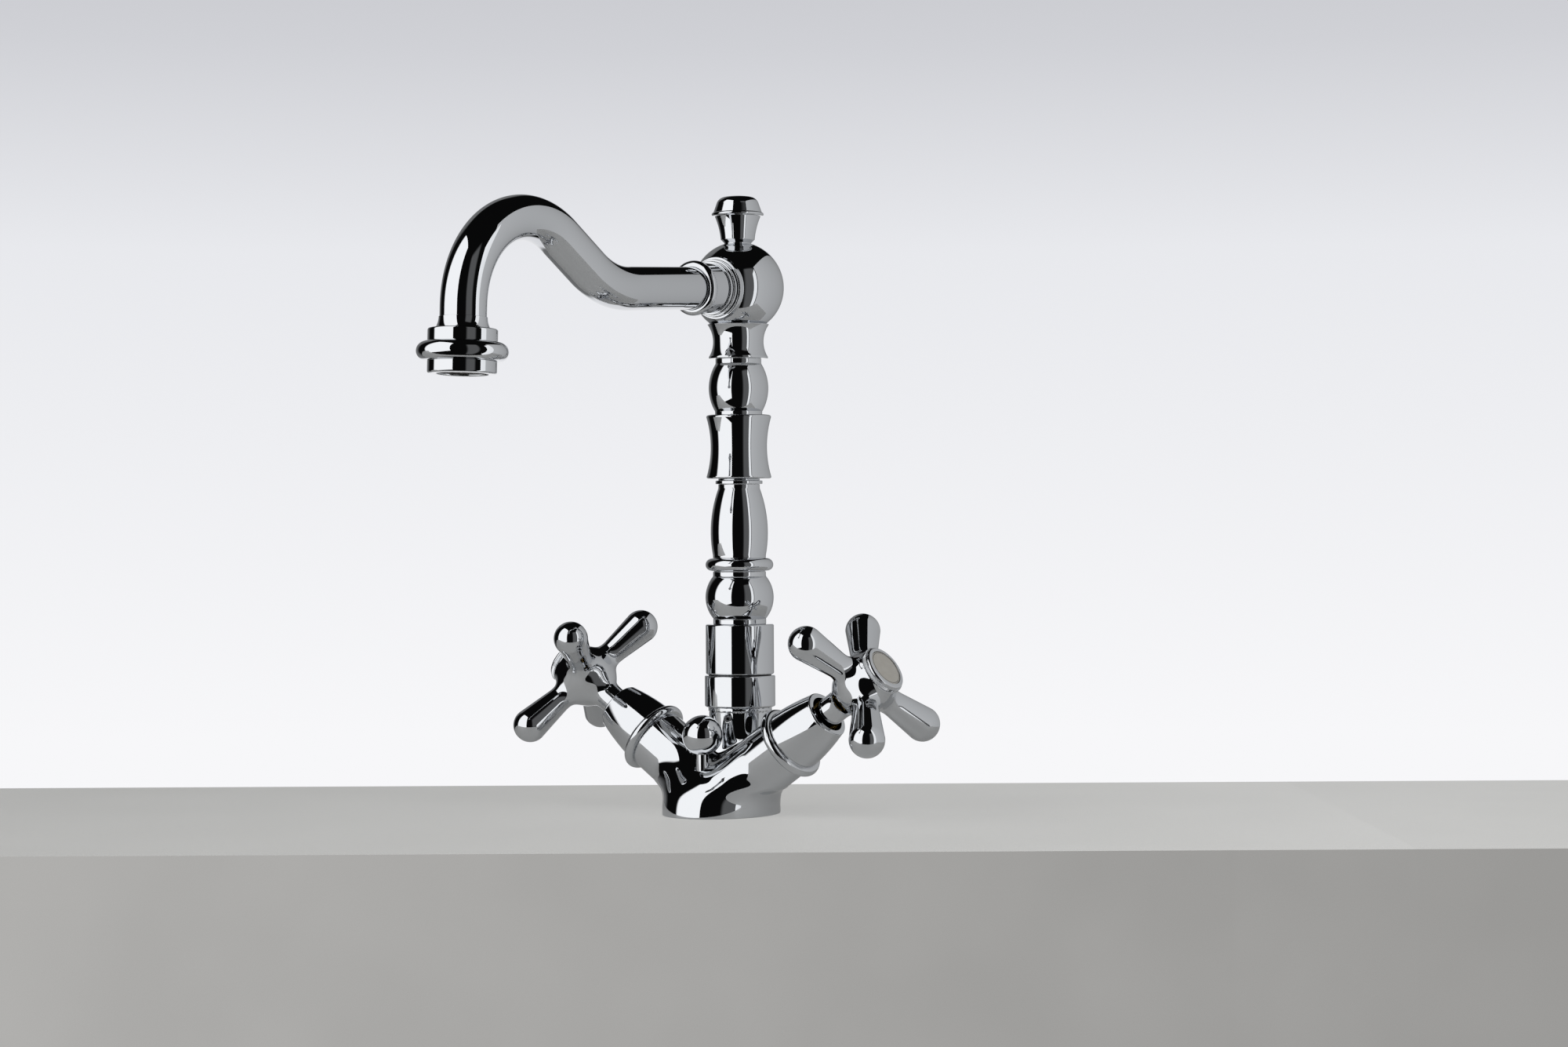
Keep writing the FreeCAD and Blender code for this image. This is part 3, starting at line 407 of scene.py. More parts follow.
def plain_finish(name, light, dark, size_mm, rough_low, rough_high, metallic=0.0, grain=0.00003):
    """Moulded or ground surface: two close colours in patches, with a fine grain of the given size."""
    made, tree, shader, spot = material(name)
    shader.inputs["Metallic"].default_value = metallic
    tint = blended(tree, mottled(tree, spot, size_mm, 0.0, 1.0), linear(light), linear(dark))
    tree.links.new(tint, shader.inputs["Base Color"])
    tree.links.new(mottled(tree, spot, size_mm / 2, rough_low, rough_high), shader.inputs["Roughness"])
    height = mottled(tree, spot, size_mm / 8, 0.0, 1.0)
    bump = add(tree, "ShaderNodeBump", {"Height": height, "Distance": grain, "Strength": 0.5})
    tree.links.new(bump.outputs["Normal"], shader.inputs["Normal"])
    return made


chrome = polished_chrome()
brass = machined_brass()
rubber = plain_finish("EPDM rubber", "#1C1C1D", "#101011", 3, 0.5, 0.7)
alumina = plain_finish("lapped alumina ceramic", "#E9E6DE", "#DEDACF", 4, 0.15, 0.25, grain=0.000005)
acetal = plain_finish("moulded acetal plastic", "#55504A", "#46423C", 4, 0.35, 0.5)
slip_plastic = plain_finish("black slip plastic", "#222224", "#161618", 3, 0.35, 0.5)
steel = plain_finish("stainless steel", "#8C8C8E", "#77777A", 2, 0.25, 0.4, metallic=1.0)


def glazed_porcelain():
    """Glazed porcelain: cream body under a clear glossy glaze, with a fine dark line fired near its rim."""
    made, tree, shader, spot = material("glazed cream porcelain")
    radius = add(tree, "ShaderNodeUVMap", uv_map="across").outputs["UV"]
    reach = add(tree, "ShaderNodeSeparateXYZ", {"Vector": radius}).outputs["X"]
    line_reach = 0.93
    distance = maths(tree, "ABSOLUTE", maths(tree, "SUBTRACT", reach, line_reach))
    line = add(tree, "ShaderNodeMapRange", {
        "Value": distance, "From Min": 0.012, "From Max": 0.026, "To Min": 0.85, "To Max": 0.0,
    }, interpolation_type="SMOOTHSTEP").outputs["Result"]
    body = blended(tree, mottled(tree, spot, 3, 0.0, 1.0), linear("#DAD6CC"), linear("#D3CEC3"))
    tint = blended(tree, line, body, linear("#2B2A2A"))
    tree.links.new(tint, shader.inputs["Base Color"])
    shader.inputs["Roughness"].default_value = 0.22
    shader.inputs["Coat Weight"].default_value = 0.6
    shader.inputs["Coat Roughness"].default_value = 0.05
    return made


porcelain = glazed_porcelain()

KEPT_FINISHES = {
    brass: ("swivel_pin", "hot_headwork_body", "cold_headwork_body", "hot_spindle", "cold_spindle"),
    rubber: (
        "base_gasket", "swivel_o_rings", "spout_o_ring", "aerator_seal", "hot_seat_seal", "cold_seat_seal",
        "hot_spindle_o_ring", "cold_spindle_o_ring",
    ),
    alumina: ("hot_fixed_disc", "cold_fixed_disc", "hot_moving_disc", "cold_moving_disc"),
    acetal: ("rod_guide_bush", "aerator_insert"),
    slip_plastic: ("swivel_washer",),
    steel: ("grub_screw", "hot_handle_screw", "cold_handle_screw"),
}
for finish, names in KEPT_FINISHES.items():
    for node_name in names:
        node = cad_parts[node_name]
        for material_slot in node.material_slots:
            material_slot.material = finish

# Body: both arms swing out of the oval foot about a hinge line beside it, and the neck stands behind
foot_height = 4.0
foot_lean = 0.008
lean_height = 6.0
foot_tilt = 0.09
tilt_end = 0.7
swing_start = 0.15
swing_height = 12.0
depth_swell = 1.6
far_delay = 0.12
far_power = 2.8
crotch_blend = 7.0
neck_foot = 8.0
neck_blend = 9.0
neck_blend_low, neck_blend_high = 13, 27
least_blend = 0.02
casting_edge = 0.3
deck_edge = 0.4
arm_edge = 0.5
inlet_offset = 12.0
grub_height = 39.0
grub_bearing = math.radians(12)
bend_end = arm_crossing + arm_axis(1) * arm_bend_reach
full_turn = math.radians(90) - arm_angle
hinge_x = bend_end[0] + (bend_end[2] - foot_height) * math.tan(arm_angle)
hinge_reach = math.hypot(bend_end[0] - hinge_x, bend_end[2] - foot_height)
inner_half_width = foot_half_width - crotch_blend / 6
inner_half_depth = foot_half_depth - crotch_blend / 6


def body_arm(points, side):
    """Distance to the foot and one arm: ovals on planes through the hinge, whose near edge, far edge and
    half depth run from the foot's oval to the arm's circle, then a straight round arm. The foot leans in
    more with its height, and the planes of its bend start out tilted from front to back."""
    across = hinge_x - side * points[:, 0]
    lift = points[:, 2] - foot_height
    tilt = foot_tilt * (1 - ease(np.arctan2(lift, across) / full_turn, 0, tilt_end))
    rise = lift + tilt * points[:, 1]
    turn = np.where(rise < 0, 0, np.arctan2(rise, across))
    reach = np.where(rise < 0, across, np.hypot(across, rise))
    share = np.clip(turn / full_turn, 0, 1)
    left_near = 1 - share * share * (3 - 2 * share)
    late = (share - far_delay * (1 - np.exp(-share / far_delay))) / (1 - far_delay)
    left_far = np.maximum(1 - late, 0) ** far_power
    upright = foot_lean * points[:, 2] * (1 + points[:, 2] / lean_height)
    swung = swing_start + (1 - swing_start) * share
    way = upright + (swung - upright) * ease(rise, 0, swing_height)
    left_depth = (1 - way) ** 2 * (1 + depth_swell * way)
    near = hinge_reach - arm_radius + (hinge_x - inner_half_width - hinge_reach + arm_radius) * left_near
    far = hinge_reach + arm_radius + (hinge_x + inner_half_width - hinge_reach - arm_radius) * left_far
    depth = arm_radius + (inner_half_depth - arm_radius) * left_depth
    middle, half = (near + far) / 2, (far - near) / 2
    oval = (np.hypot((reach - middle) / half, points[:, 1] / depth) - 1) * np.minimum(half, depth)
    axis = arm_axis(side)
    straight = bar(points, arm_crossing, axis, -60, 60, arm_radius)
    end = (points - arm_crossing) @ axis - arm_length
    return smooth_max(np.where(turn > full_turn, straight, oval), end, arm_edge)


# Ledge and spigot for the collar as start and end above the neck's top, and radius
COLLAR_STEPS = ((-1.6, 0, 13.3), (-3, 4.5, 11.5))
rod_foot = np.array((0, -rod_offset, 0))
grub_way = np.array((math.sin(grub_bearing), -math.cos(grub_bearing), 0))
# Bores as origin, axis, start and end along it, and radius
BORES = [
    (column_foot, UP, 24, 60, 9.05),  # swivel pin
    (column_foot, UP, -9, 12, 3.32),  # fixing stud
    (rod_foot, UP, -9, 40, 2.75),  # lift rod
    (rod_foot, UP, -9, 8, 4.25),  # guide bush
    (np.array((0, column_offset, grub_height)), grub_way, 6, 20, 1.25),  # grub screw
]
for side in (1, -1):
    BORES.append((arm_crossing, arm_axis(side), 20, 60, 9.55))  # valve
    BORES.append((np.array((side * inlet_offset, 0, 0)), UP, -9, 10, 4.46))  # supply inlet


def body_distance(points):
    """Distance to the cast body with the ledge and spigot for its collar and with its bores."""
    height = points[:, 2]
    arms = smooth_min(body_arm(points, 1), body_arm(points, -1), crotch_blend)
    neck = bar(points, column_foot, UP, neck_foot, neck_top, neck_radius)
    neck_share = ease(height, neck_blend_low, neck_blend_high)
    solid = smooth_min(arms, neck, least_blend + neck_blend * neck_share)
    for start, end, radius in COLLAR_STEPS:
        step = bar(points, column_foot, UP, neck_top + start, neck_top + end, radius)
        solid = smooth_min(solid, step, casting_edge)
    solid = smooth_max(solid, -height, deck_edge)
    for bore in BORES:
        solid = smooth_max(solid, -bar(points, *bore), casting_edge)
    return solid


piece(
    "chrome_mixer_body", [skin(body_distance, (-44, -29, -1), (44, 29, 50))],
    "body", ["mixer_body"], chrome,
)

# Collar, sleeve and column
collar = outline(
    (11.55, neck_top), [(14.06, neck_top)], [(14.55, neck_top + 0.2), (14.76, neck_top + 0.7)],
    [(14.76, collar_top - 0.6)], [(14.58, collar_top - 0.17), (14.16, collar_top)],
    [(9.05, collar_top)], [(9.05, 47.95)], [(11.55, 47.95)], closed=True,
)
piece("chrome_column_collar", [turned(collar, ON_COLUMN)], "body", ["column_collar"], chrome)

sleeve = outline(
    (9.05, sleeve_foot), [(13.68, sleeve_foot)], [(14.1, sleeve_foot + 0.17), (14.28, sleeve_foot + 0.6)],
    [(14.28, sleeve_top - 0.7)], [(14.07, sleeve_top - 0.2), (13.58, sleeve_top)],
    [(9.05, sleeve_top)], closed=True,
)
piece("chrome_swivel_sleeve", [turned(sleeve, ON_COLUMN)], "spout", ["swivel_sleeve"], chrome)

shaft = outline(
    (5.5, 66.75), [(9.0, 66.75)], [(9.0, 77.75)], [(11.1, 77.75)], [(11.1, 79.95)],
    [(14.3, 88.85), (11.1, 97.75)], [(11.1, 99.65)],
    [(14.2, 102.45), (11.1, 105.25)], [(11.1, 106.15)],
    [(12.0, 115.75), (8.7, 134.35)], [(8.7, 135.95)],
    [(9.85, 135.95)], [(9.85, 137.45)], [(8.7, 137.45)], [(8.7, 138.15)],
    [(12.7, 138.15)], [(13.34, 138.41), (13.6, 139.05)],
    [(11.8, 151.45), (13.6, 163.85)], [(13.34, 164.49), (12.7, 164.75)],
    [(9.9, 164.75)], [(9.9, 166.15)],
    [(12.5, 176.15), (9.6, 186.15)], [(9.6, 188.15)],
    [(12.4, 188.15)], [(12.4, 188.95)], [(10.6, 194.75), (13.0, 202.45)],
    [(7.5, 202.45)], [(7.5, 209.45)], [(5.5, 209.45)], closed=True, edge=0.3,
)
piece("chrome_column_shaft", [turned(shaft, ON_COLUMN)], "spout", ["column_shaft"], chrome)

# Ball with its stepped socket, turned about the spout's first run
ball_height = 216.58
ball_radius = 19.2
socket_radius = 12.8
spout_start = np.array((0, column_offset, ball_height + 1.1))
spout_axis = np.array((0, -math.cos(spout_fall), -math.sin(spout_fall)))
ON_SPOUT = stand(spout_start, spout_axis, (1, 0, 0))
socket_foot = math.sqrt(ball_radius ** 2 - socket_radius ** 2)
ball = outline(
    (0.0, -ball_radius), [(ball_radius, 0.0), (socket_radius, socket_foot)],
    [(socket_radius, 16.4)], [(11.8, 16.4)], [(11.8, 18.4)], [(11.0, 18.4)], [(11.0, 20.4)],
    [(8.79, 20.4)], [(8.79, 12.0)], [(0.0, 12.0)], edge=0.3,
)
piece("chrome_ball_head", [turned(ball, ON_SPOUT)], "spout", ["ball_head"], chrome)

spout_collar = outline(
    (8.79, 20.4), [(10.3, 20.4)], [(10.3, 29.2)], [(11.3, 31.2), (9.3, 33.2)], [(8.79, 33.2)], closed=True,
)
piece("chrome_spout_collar", [turned(spout_collar, ON_SPOUT)], "spout", ["spout_collar"], chrome)

finial_foot_radius = 5.6
finial_seat = ball_height + math.sqrt(ball_radius ** 2 - finial_foot_radius ** 2)
finial = outline(
    (0.0, -6.0), [(3.0, -6.0)], [(3.0, 0.0)],
    [(finial_foot_radius, 0.0)], [(finial_foot_radius, 1.3)], [(7.1, 2.7)],
    [(7.93, 7.6), (9.6, 12.5)], [(10.1, 12.5)], [(10.9, 13.3), (10.1, 14.1)], [(10.2, 14.1)],
    [(8.9, 17.7)], [(7.73, 19.63), (5.4, 20.6)], [(2.9, 20.98), (0.0, 21.1)],
)
ON_FINIAL = stand((0, column_offset, finial_seat), UP, (0, 1, 0))
piece("chrome_finial", [turned(finial, ON_FINIAL)], "spout", ["finial"], chrome)

# Spout: where its tube starts in the socket, its bends, the straight between them and its end
tube_start = 16.9
spout_rise = math.radians(31.9)
corner_reach = 89.5
bend_radius = 43.6
straight_length = 20.4
neck_bend_radius = 36.7
leg_length = 14.5
rim_drop = 10.85


def spout_line():
    """Centre line of the spout as (reach from the column, height): a falling run, a bend up, a straight
    rise and the gooseneck down to the outlet. Returns points, directions and the outlet's rim."""
    along = np.array((math.cos(spout_fall), -math.sin(spout_fall)))
    upward = np.array((math.cos(spout_rise), math.sin(spout_rise)))
    down = np.array((math.sin(outlet_lean), -math.cos(outlet_lean)))
    first = np.array((0, spout_start[2])) + along * tube_start
    corner = np.array((corner_reach, spout_start[2] - corner_reach * math.tan(spout_fall)))
    tangent = bend_radius * math.tan((spout_fall + spout_rise) / 2)
    bend_from = corner - along * tangent
    bend_to = corner + upward * tangent
    bend_centre = bend_from + bend_radius * np.array((-along[1], along[0]))
    half = (spout_rise - spout_fall) / 2
    bend_middle = bend_centre + bend_radius * np.array((math.sin(half), -math.cos(half)))
    neck_from = bend_to + upward * straight_length
    neck_centre = neck_from + neck_bend_radius * np.array((upward[1], -upward[0]))
    top = (math.radians(90) + spout_rise + outlet_lean) / 2
    neck_middle = neck_centre + neck_bend_radius * np.array((math.cos(top), math.sin(top)))
    end = np.array((math.cos(outlet_lean), math.sin(outlet_lean)))
    neck_to = neck_centre + neck_bend_radius * end
    last = neck_to + down * leg_length
    runs = [
        (np.linspace(first, bend_from, 12), np.tile(along, (12, 1))),
        arc(bend_from, bend_middle, bend_to),
        (np.linspace(bend_to, neck_from, 6), np.tile(upward, (6, 1))),
        arc(neck_from, neck_middle, neck_to),
        (np.linspace(neck_to, last, 6), np.tile(down, (6, 1))),
    ]
    points = np.concatenate([run[0][1:] if k else run[0] for k, run in enumerate(runs)])
    ways = np.concatenate([run[1][1:] if k else run[1] for k, run in enumerate(runs)])
    return points, ways, last + down * rim_drop


def spout_tube():
    """Tube carried along the centre line, outside from ball to outlet and inside back again."""
    points, ways, _ = spout_line()
    centre = np.stack([np.zeros(len(points)), column_offset - points[:, 0], points[:, 1]], 1)
    across = np.stack([np.zeros(len(points)), ways[:, 1], ways[:, 0]], 1)
    turn = np.linspace(0, 2 * math.pi, COLUMNS, endpoint=False)[:, None]
    ring = np.cos(turn) * across[:, None] - np.sin(turn) * np.array((1.0, 0, 0))
    outside = centre[:, None] + tube_radius * ring
    inside = centre[::-1, None] + tube_bore_radius * ring[::-1]
    grid = np.concatenate([outside, inside])
    slopes = np.concatenate([ring, -ring[::-1]])
    return grid.reshape(-1, 3), slopes.reshape(-1, 3), grid_faces(grid, True)


piece("chrome_spout_tube", [spout_tube()], "spout", ["spout_tube"], chrome)

# Outlet and aerator, measured up from the rim
rim_reach, rim_height = spout_line()[2]
outlet_axis = (0, math.sin(outlet_lean), math.cos(outlet_lean))
ON_OUTLET = stand((0, column_offset - rim_reach, rim_height), outlet_axis, (1, 0, 0))
outlet = outline(
    (11.45, 4.8), [(13.0, 4.8)], [(17.1, 8.3), (13.0, 11.8)], [(13.0, 16.0)], [(12.8, 16.5), (12.3, 16.7)],
    [(10.3, 16.7)], [(9.35, 18.9), (9.04, 21.1)], [(8.79, 21.1)], [(8.79, rim_drop)],
    [(tube_bore_radius, rim_drop)], [(tube_bore_radius, 9.85)], [(11.45, 9.85)], closed=True,
)
piece("chrome_outlet_ring", [turned(outlet, ON_OUTLET)], "spout", ["outlet_ring"], chrome)

aerator = outline(
    (9.5, 0.4), [(9.9, 0.0)], [(12.0, 0.0)], [(12.62, 0.28), (12.9, 0.9)], [(12.9, 4.8)], [(11.4, 4.8)],
    [(11.4, 9.8)], [(10.1, 9.8)], [(10.1, 1.0)], [(9.5, 1.0)], closed=True,
)
piece(
    "chrome_aerator_housing", [turned(aerator, ON_OUTLET)],
    "spout", ["aerator_housing"], chrome,
)

# Lift rod and its ball knob
knob_height = 33.0
knob_radius = 8.3
knob_foot_radius = 3.1
rod = outline((0.0, 1.0), [(2.7, 1.0)], [(2.7, 30.7)], [(0.0, 30.7)], edge=0.4)
piece("chrome_lift_rod", [turned(rod, ON_ROD, columns=64)], "lift", ["lift_rod"], chrome)
knob_foot = knob_height - math.sqrt(knob_radius ** 2 - knob_foot_radius ** 2)
knob = outline(
    (2.75, 30.75), [(2.75, knob_foot)], [(knob_foot_radius, knob_foot)],
    [(knob_radius, knob_height), (0.0, 41.3)],
)
piece("chrome_lift_knob", [turned(knob, ON_ROD, columns=120)], "lift", ["lift_knob"], chrome)

# Shrouds over the valves
shroud = outline(
    (10.95, 40.0), [(13.6, 40.0)], [(15.7, 42.1), (13.6, 44.2)], [(13.2, 44.2)],
    [(12.2, 53.65), (10.2, 63.1)], [(9.94, 63.74), (9.3, 64.0)], [(7.8, 64.0)], [(10.95, 45.05)],
    closed=True, edge=0.2,
)

# Cross handle in its own axes, with the crossing of its arms at zero
hub_top = 9.3
hub_radius = 12.3
hub_stretch = np.array((1, 1, 0.9))
hub_drop = np.array((0, 0, 0.4))
hub_edge = 0.4
hub_end_radius = 9.9
hub_end_blend = 3.0
hub_neck_radius = 6.0
hub_neck_length = 28.2
hub_neck_blend = 4.0
root_reach, root_radius = 7.0, 4.4
tip_reach, tip_radius = 32.1, 7.2
root_blend = 6.0
# Its hollows along its axis as start, end and radius: the button's seat, the screw's hole and the spindle's
HANDLE_HOLLOWS = ((-5.6, 30, 6.5), (-15, 0, 2.05), (-40, -11.3, 4.05))


def handle_distance(points):
    """Distance to the cross handle: an egg-shaped hub on a neck and four cones with ball tips, all
    blended."""
    zero = np.zeros(3)
    hub = np.linalg.norm(points * hub_stretch + hub_drop, axis=1) - hub_radius
    end = bar(points, zero, UP, 2, 20, hub_end_radius)
    neck = bar(points, zero, UP, -hub_neck_length, 0, hub_neck_radius)
    solid = smooth_min(smooth_min(hub, end, hub_end_blend), neck, hub_neck_blend)
    for turn in range(4):
        way = np.array((math.cos(turn * math.pi / 2), math.sin(turn * math.pi / 2), 0))
        cone = round_cone(points, way * root_reach, way * tip_reach, root_radius, tip_radius)
        solid = smooth_min(solid, cone, root_blend)
    solid = smooth_max(solid, points[:, 2] - hub_top, hub_edge)
    for hollow in HANDLE_HOLLOWS:
        solid = smooth_max(solid, -bar(points, zero, UP, *hollow), casting_edge)
    return solid


def placed(shell, place, bearing):
    """A shell made in its own axes, turned by a bearing about its axis and put in place."""
    points, normals, faces = shell
    origin, across, other, axis = place
    first = math.cos(bearing) * across + math.sin(bearing) * other
    second = np.cross(axis, first)
    turn = np.stack([first, second, axis])
    return origin + points @ turn, normals @ turn, faces


handle_shell = skin(handle_distance, (-41, -41, -30), (41, 41, 11))

# Index button: bezel with a knurled edge and its porcelain disc, measured from the crossing of the arms
bezel_top = hub_top + 3.1
knurl_count = 120
knurl_depth = 0.3
knurl_points = 6
bezel = outline(
    (5.05, hub_top - 4), [(6.45, hub_top - 4)], [(6.45, hub_top)], [(9.9, hub_top)],
    [(10.2, hub_top + 0.25)], [(10.2, hub_top + 1.55)], [(9.95, hub_top + 1.75)], [(9.75, hub_top + 1.75)],
    [(9.45, hub_top + 2.75), (8.8, bezel_top)],
    [(7.75, bezel_top)], [(7.7, bezel_top - 1.55)], [(5.05, bezel_top - 1.55)], closed=True, edge=0.12,
)


def knurled(profile, place):
    """The bezel's profile carried round, with its outer edge pressed in by a cosine of the turn."""
    points, _, closed = profile
    origin, across, other, axis = place
    turn = np.linspace(0, 2 * math.pi, knurl_count * knurl_points, endpoint=False)
    band = ease(points[:, 0], 9.9, 10.15)
    press = knurl_depth * band[:, None] * (0.5 + 0.5 * np.cos(knurl_count * turn))
    radius = points[:, :1] - press
    ring = np.cos(turn)[:, None] * across + np.sin(turn)[:, None] * other
    grid = origin + radius[:, :, None] * ring + points[:, 1, None, None] * axis
    along = np.roll(grid, -1, 0) - np.roll(grid, 1, 0)
    round_way = np.roll(grid, -1, 1) - np.roll(grid, 1, 1)
    slopes = np.cross(round_way, along)
    return grid.reshape(-1, 3), slopes.reshape(-1, 3), grid_faces(grid, closed)


disc_top = bezel_top - 0.15
disc_radius = 7.6
disc = outline(
    (0.0, disc_top - 1.4), [(disc_radius, disc_top - 1.4)], [(disc_radius, disc_top - 0.1)],
    [(3.8, disc_top + 0.06), (0.0, disc_top + 0.1)],
    edge=0.15,
)

handle_bearing = 45
handle_stagger = 5.5
for side, who in ((1, "cold"), (-1, "hot")):
    origin, across, other, axis = ON_ARM[side]
    on_cross = (origin + axis * cross_reach, across, other, axis)
    piece(
        "chrome_" + who + "_shroud", [turned(shroud, ON_ARM[side])],
        "body", [who + "_valve_shroud"], chrome,
    )
    bearing = math.radians(handle_bearing + side * handle_stagger)
    piece(
        "chrome_" + who + "_cross_handle", [placed(handle_shell, on_cross, bearing)],
        who + "_handle", [who + "_cross_handle"], chrome,
    )
    piece(
        "chrome_" + who + "_bezel", [knurled(bezel, on_cross)],
        who + "_handle", [who + "_index_bezel"], chrome,
    )
    button = piece(
        "porcelain_" + who + "_disc", [turned(disc, on_cross, columns=96)],
        who + "_handle", [who + "_index_disc"], porcelain,
    )
    corners = np.empty(len(button.data.loops), int)
    button.data.loops.foreach_get("vertex_index", corners)
    spots = np.empty(len(button.data.vertices) * 3)
    button.data.vertices.foreach_get("co", spots)
    away = spots.reshape(-1, 3) / MM - on_cross[0]
    radius = np.linalg.norm(away - (away @ axis)[:, None] * axis, axis=1) / disc_radius
    uv = button.data.uv_layers.new(name="across")
    uv.uv.foreach_set("vector", np.stack([radius[corners], np.zeros(len(corners))], 1).ravel())

# Camera: in front of the tap and to the right of its spout, not tipped up or down and with a slight roll
view_angle = math.radians(34.4)
camera_shift = 26.4
camera_distance = 1214
camera_height = 119.5
camera_roll = math.radians(0.3)
sensor_width = 36.0
focal_length_in_widths = 1.875
right = np.array((math.cos(view_angle), math.sin(view_angle), 0))
towards = np.array((math.sin(view_angle), -math.cos(view_angle), 0))
camera = bpy.data.cameras.new("camera")
camera.sensor_width = sensor_width
camera.lens = sensor_width * focal_length_in_widths
camera.clip_start = 0.01
camera_object = bpy.data.objects.new("camera", camera)
camera_object.location = (right * camera_shift + towards * camera_distance + UP * camera_height) * MM
camera_object.rotation_euler = (math.radians(90), camera_roll, view_angle)
bpy.context.scene.collection.objects.link(camera_object)
bpy.context.scene.camera = camera_object

# Shelf: a plain pale slab, square to the camera, and the shares of its glowing tone, which holds painted
# light and shade, in what is seen of it
FRONT_SHARE = 0.9
TOP_SHARE = 0.5
MIRROR_SHARE = 0.35
CLOUD_SHARE = 0.2
# Reach to each side, in metres, over which the painted light on the shelf changes
PAINTED_LIGHT_REACH = 0.3


def painted_shelf():
    """Matt painted plaster: pale grey with faint clouds and a fine grain. What the camera and the metal
    see of it is partly a glowing tone with painted light and shade in it: lighter to the right on top,
    and on the front darker than on top and darker to the right."""
    made, tree, shader, spot = material("matt painted plaster")
    clouds = mottled(tree, spot, 70, 0.0, 1.0)
    tint = blended(tree, clouds, linear("#EDEDEB"), linear("#E4E4E2"))
    tree.links.new(tint, shader.inputs["Base Color"])
    tree.links.new(mottled(tree, spot, 3, 0.5, 0.65), shader.inputs["Roughness"])
    grain = mottled(tree, spot, 0.8, 0.0, 1.0)
    bump = add(tree, "ShaderNodeBump", {"Height": grain, "Distance": 0.0001, "Strength": 0.4})
    tree.links.new(bump.outputs["Normal"], shader.inputs["Normal"])
    geometry = add(tree, "ShaderNodeNewGeometry").outputs
    level = add(tree, "ShaderNodeSeparateXYZ", {"Vector": geometry["True Normal"]}).outputs["Z"]
    # Painted light and shade: from left to right the glowing tone goes lighter on top and darker on the
    # front
    aside = add(tree, "ShaderNodeMapRange", {
        "Value": along_vector(tree, geometry["Position"], right),
        "From Min": -PAINTED_LIGHT_REACH, "From Max": PAINTED_LIGHT_REACH,
        "To Min": -CLOUD_SHARE / 2, "To Max": 1 - CLOUD_SHARE / 2,
    }).outputs["Result"]
    clouds_and_painted_light = maths(tree, "MULTIPLY_ADD", clouds, CLOUD_SHARE, aside)
    # Painted shade: the front's glowing tone is darker than the top's
    painted_shade_front = blended(tree, clouds_and_painted_light, linear("#B1B0AE"), linear("#9A9997"))
    top = blended(tree, clouds_and_painted_light, linear("#CECECC"), linear("#EFEFED"))
    tone = blended(tree, level, painted_shade_front, top)
    glow_with_painted_light = add(tree, "ShaderNodeEmission", {"Color": tone, "Strength": 1.0}).outputs[0]
    path = add(tree, "ShaderNodeLightPath").outputs
    mirrored = maths(tree, "MULTIPLY", path["Is Glossy Ray"], MIRROR_SHARE)
    seen = maths(tree, "MAXIMUM", path["Is Camera Ray"], mirrored)
    share = add(tree, "ShaderNodeMapRange", {
        "Value": level, "To Min": FRONT_SHARE, "To Max": TOP_SHARE,
    }).outputs["Result"]
    share = maths(tree, "MULTIPLY", share, seen)
    both = add(tree, "ShaderNodeMixShader", {0: share, 1: shader.outputs[0], 2: glow_with_painted_light}).outputs[0]
    tree.links.new(both, tree.nodes["Material Output"].inputs["Surface"])
    return made


shelf_finish = painted_shelf()
front_edge, back_edge, half_width, thickness = 146.0, -134.0, 900.0, 260.0
plan = ((-1, back_edge), (-1, front_edge), (1, front_edge), (1, back_edge))
corners = [right * x * half_width + towards * y + UP * z for z in (0, -thickness) for x, y in plan]
shelf_mesh = bpy.data.meshes.new("shelf")
shelf_mesh.from_pydata([tuple(corner * MM) for corner in corners], [], [
    (0, 1, 2, 3), (7, 6, 5, 4), (1, 5, 6, 2), (0, 4, 5, 1), (2, 6, 7, 3), (3, 7, 4, 0),
])
shelf_mesh.materials.append(shelf_finish)
shelf = bpy.data.objects.new("shelf", shelf_mesh)
bpy.context.scene.collection.objects.link(shelf)


def softbox(name, first, last, bottom, top, strength, fade, in_metal=True):
    """Upright area lamp between two places on the ground, each (to the right, towards the camera), that
    faces the tap. Its light fades in over a share of its width from the first place. A fill stays out of
    the metal's mirror."""
    start, end = (right * place[0] + towards * place[1] for place in (first, last))
    lamp = bpy.data.lights.new(name, "AREA")
    lamp.shape = "RECTANGLE"
    lamp.size, lamp.size_y = np.linalg.norm(end - start) * MM, (top - bottom) * MM
    lamp.energy = strength * math.pi * lamp.size * lamp.size_y
    lamp.use_nodes = True
    tree = lamp.node_tree
    spot = add(tree, "ShaderNodeNewGeometry").outputs["Parametric"]
    across = add(tree, "ShaderNodeSeparateXYZ", {"Vector": spot}).outputs["X"]
    rise = add(tree, "ShaderNodeMapRange", {
        "Value": across, "From Max": fade,
    }, interpolation_type="SMOOTHSTEP").outputs["Result"]
    tree.links.new(rise, tree.nodes["Emission"].inputs["Strength"])
    thing = bpy.data.objects.new(name, lamp)
    thing.location = ((start + end) / 2 + UP * (bottom + top) / 2) * MM
    along = unit(end - start)
    thing.rotation_euler = (math.radians(90), 0, math.atan2(along[1], along[0]))
    thing.visible_camera = False
    thing.visible_glossy = in_metal
    bpy.context.scene.collection.objects.link(thing)


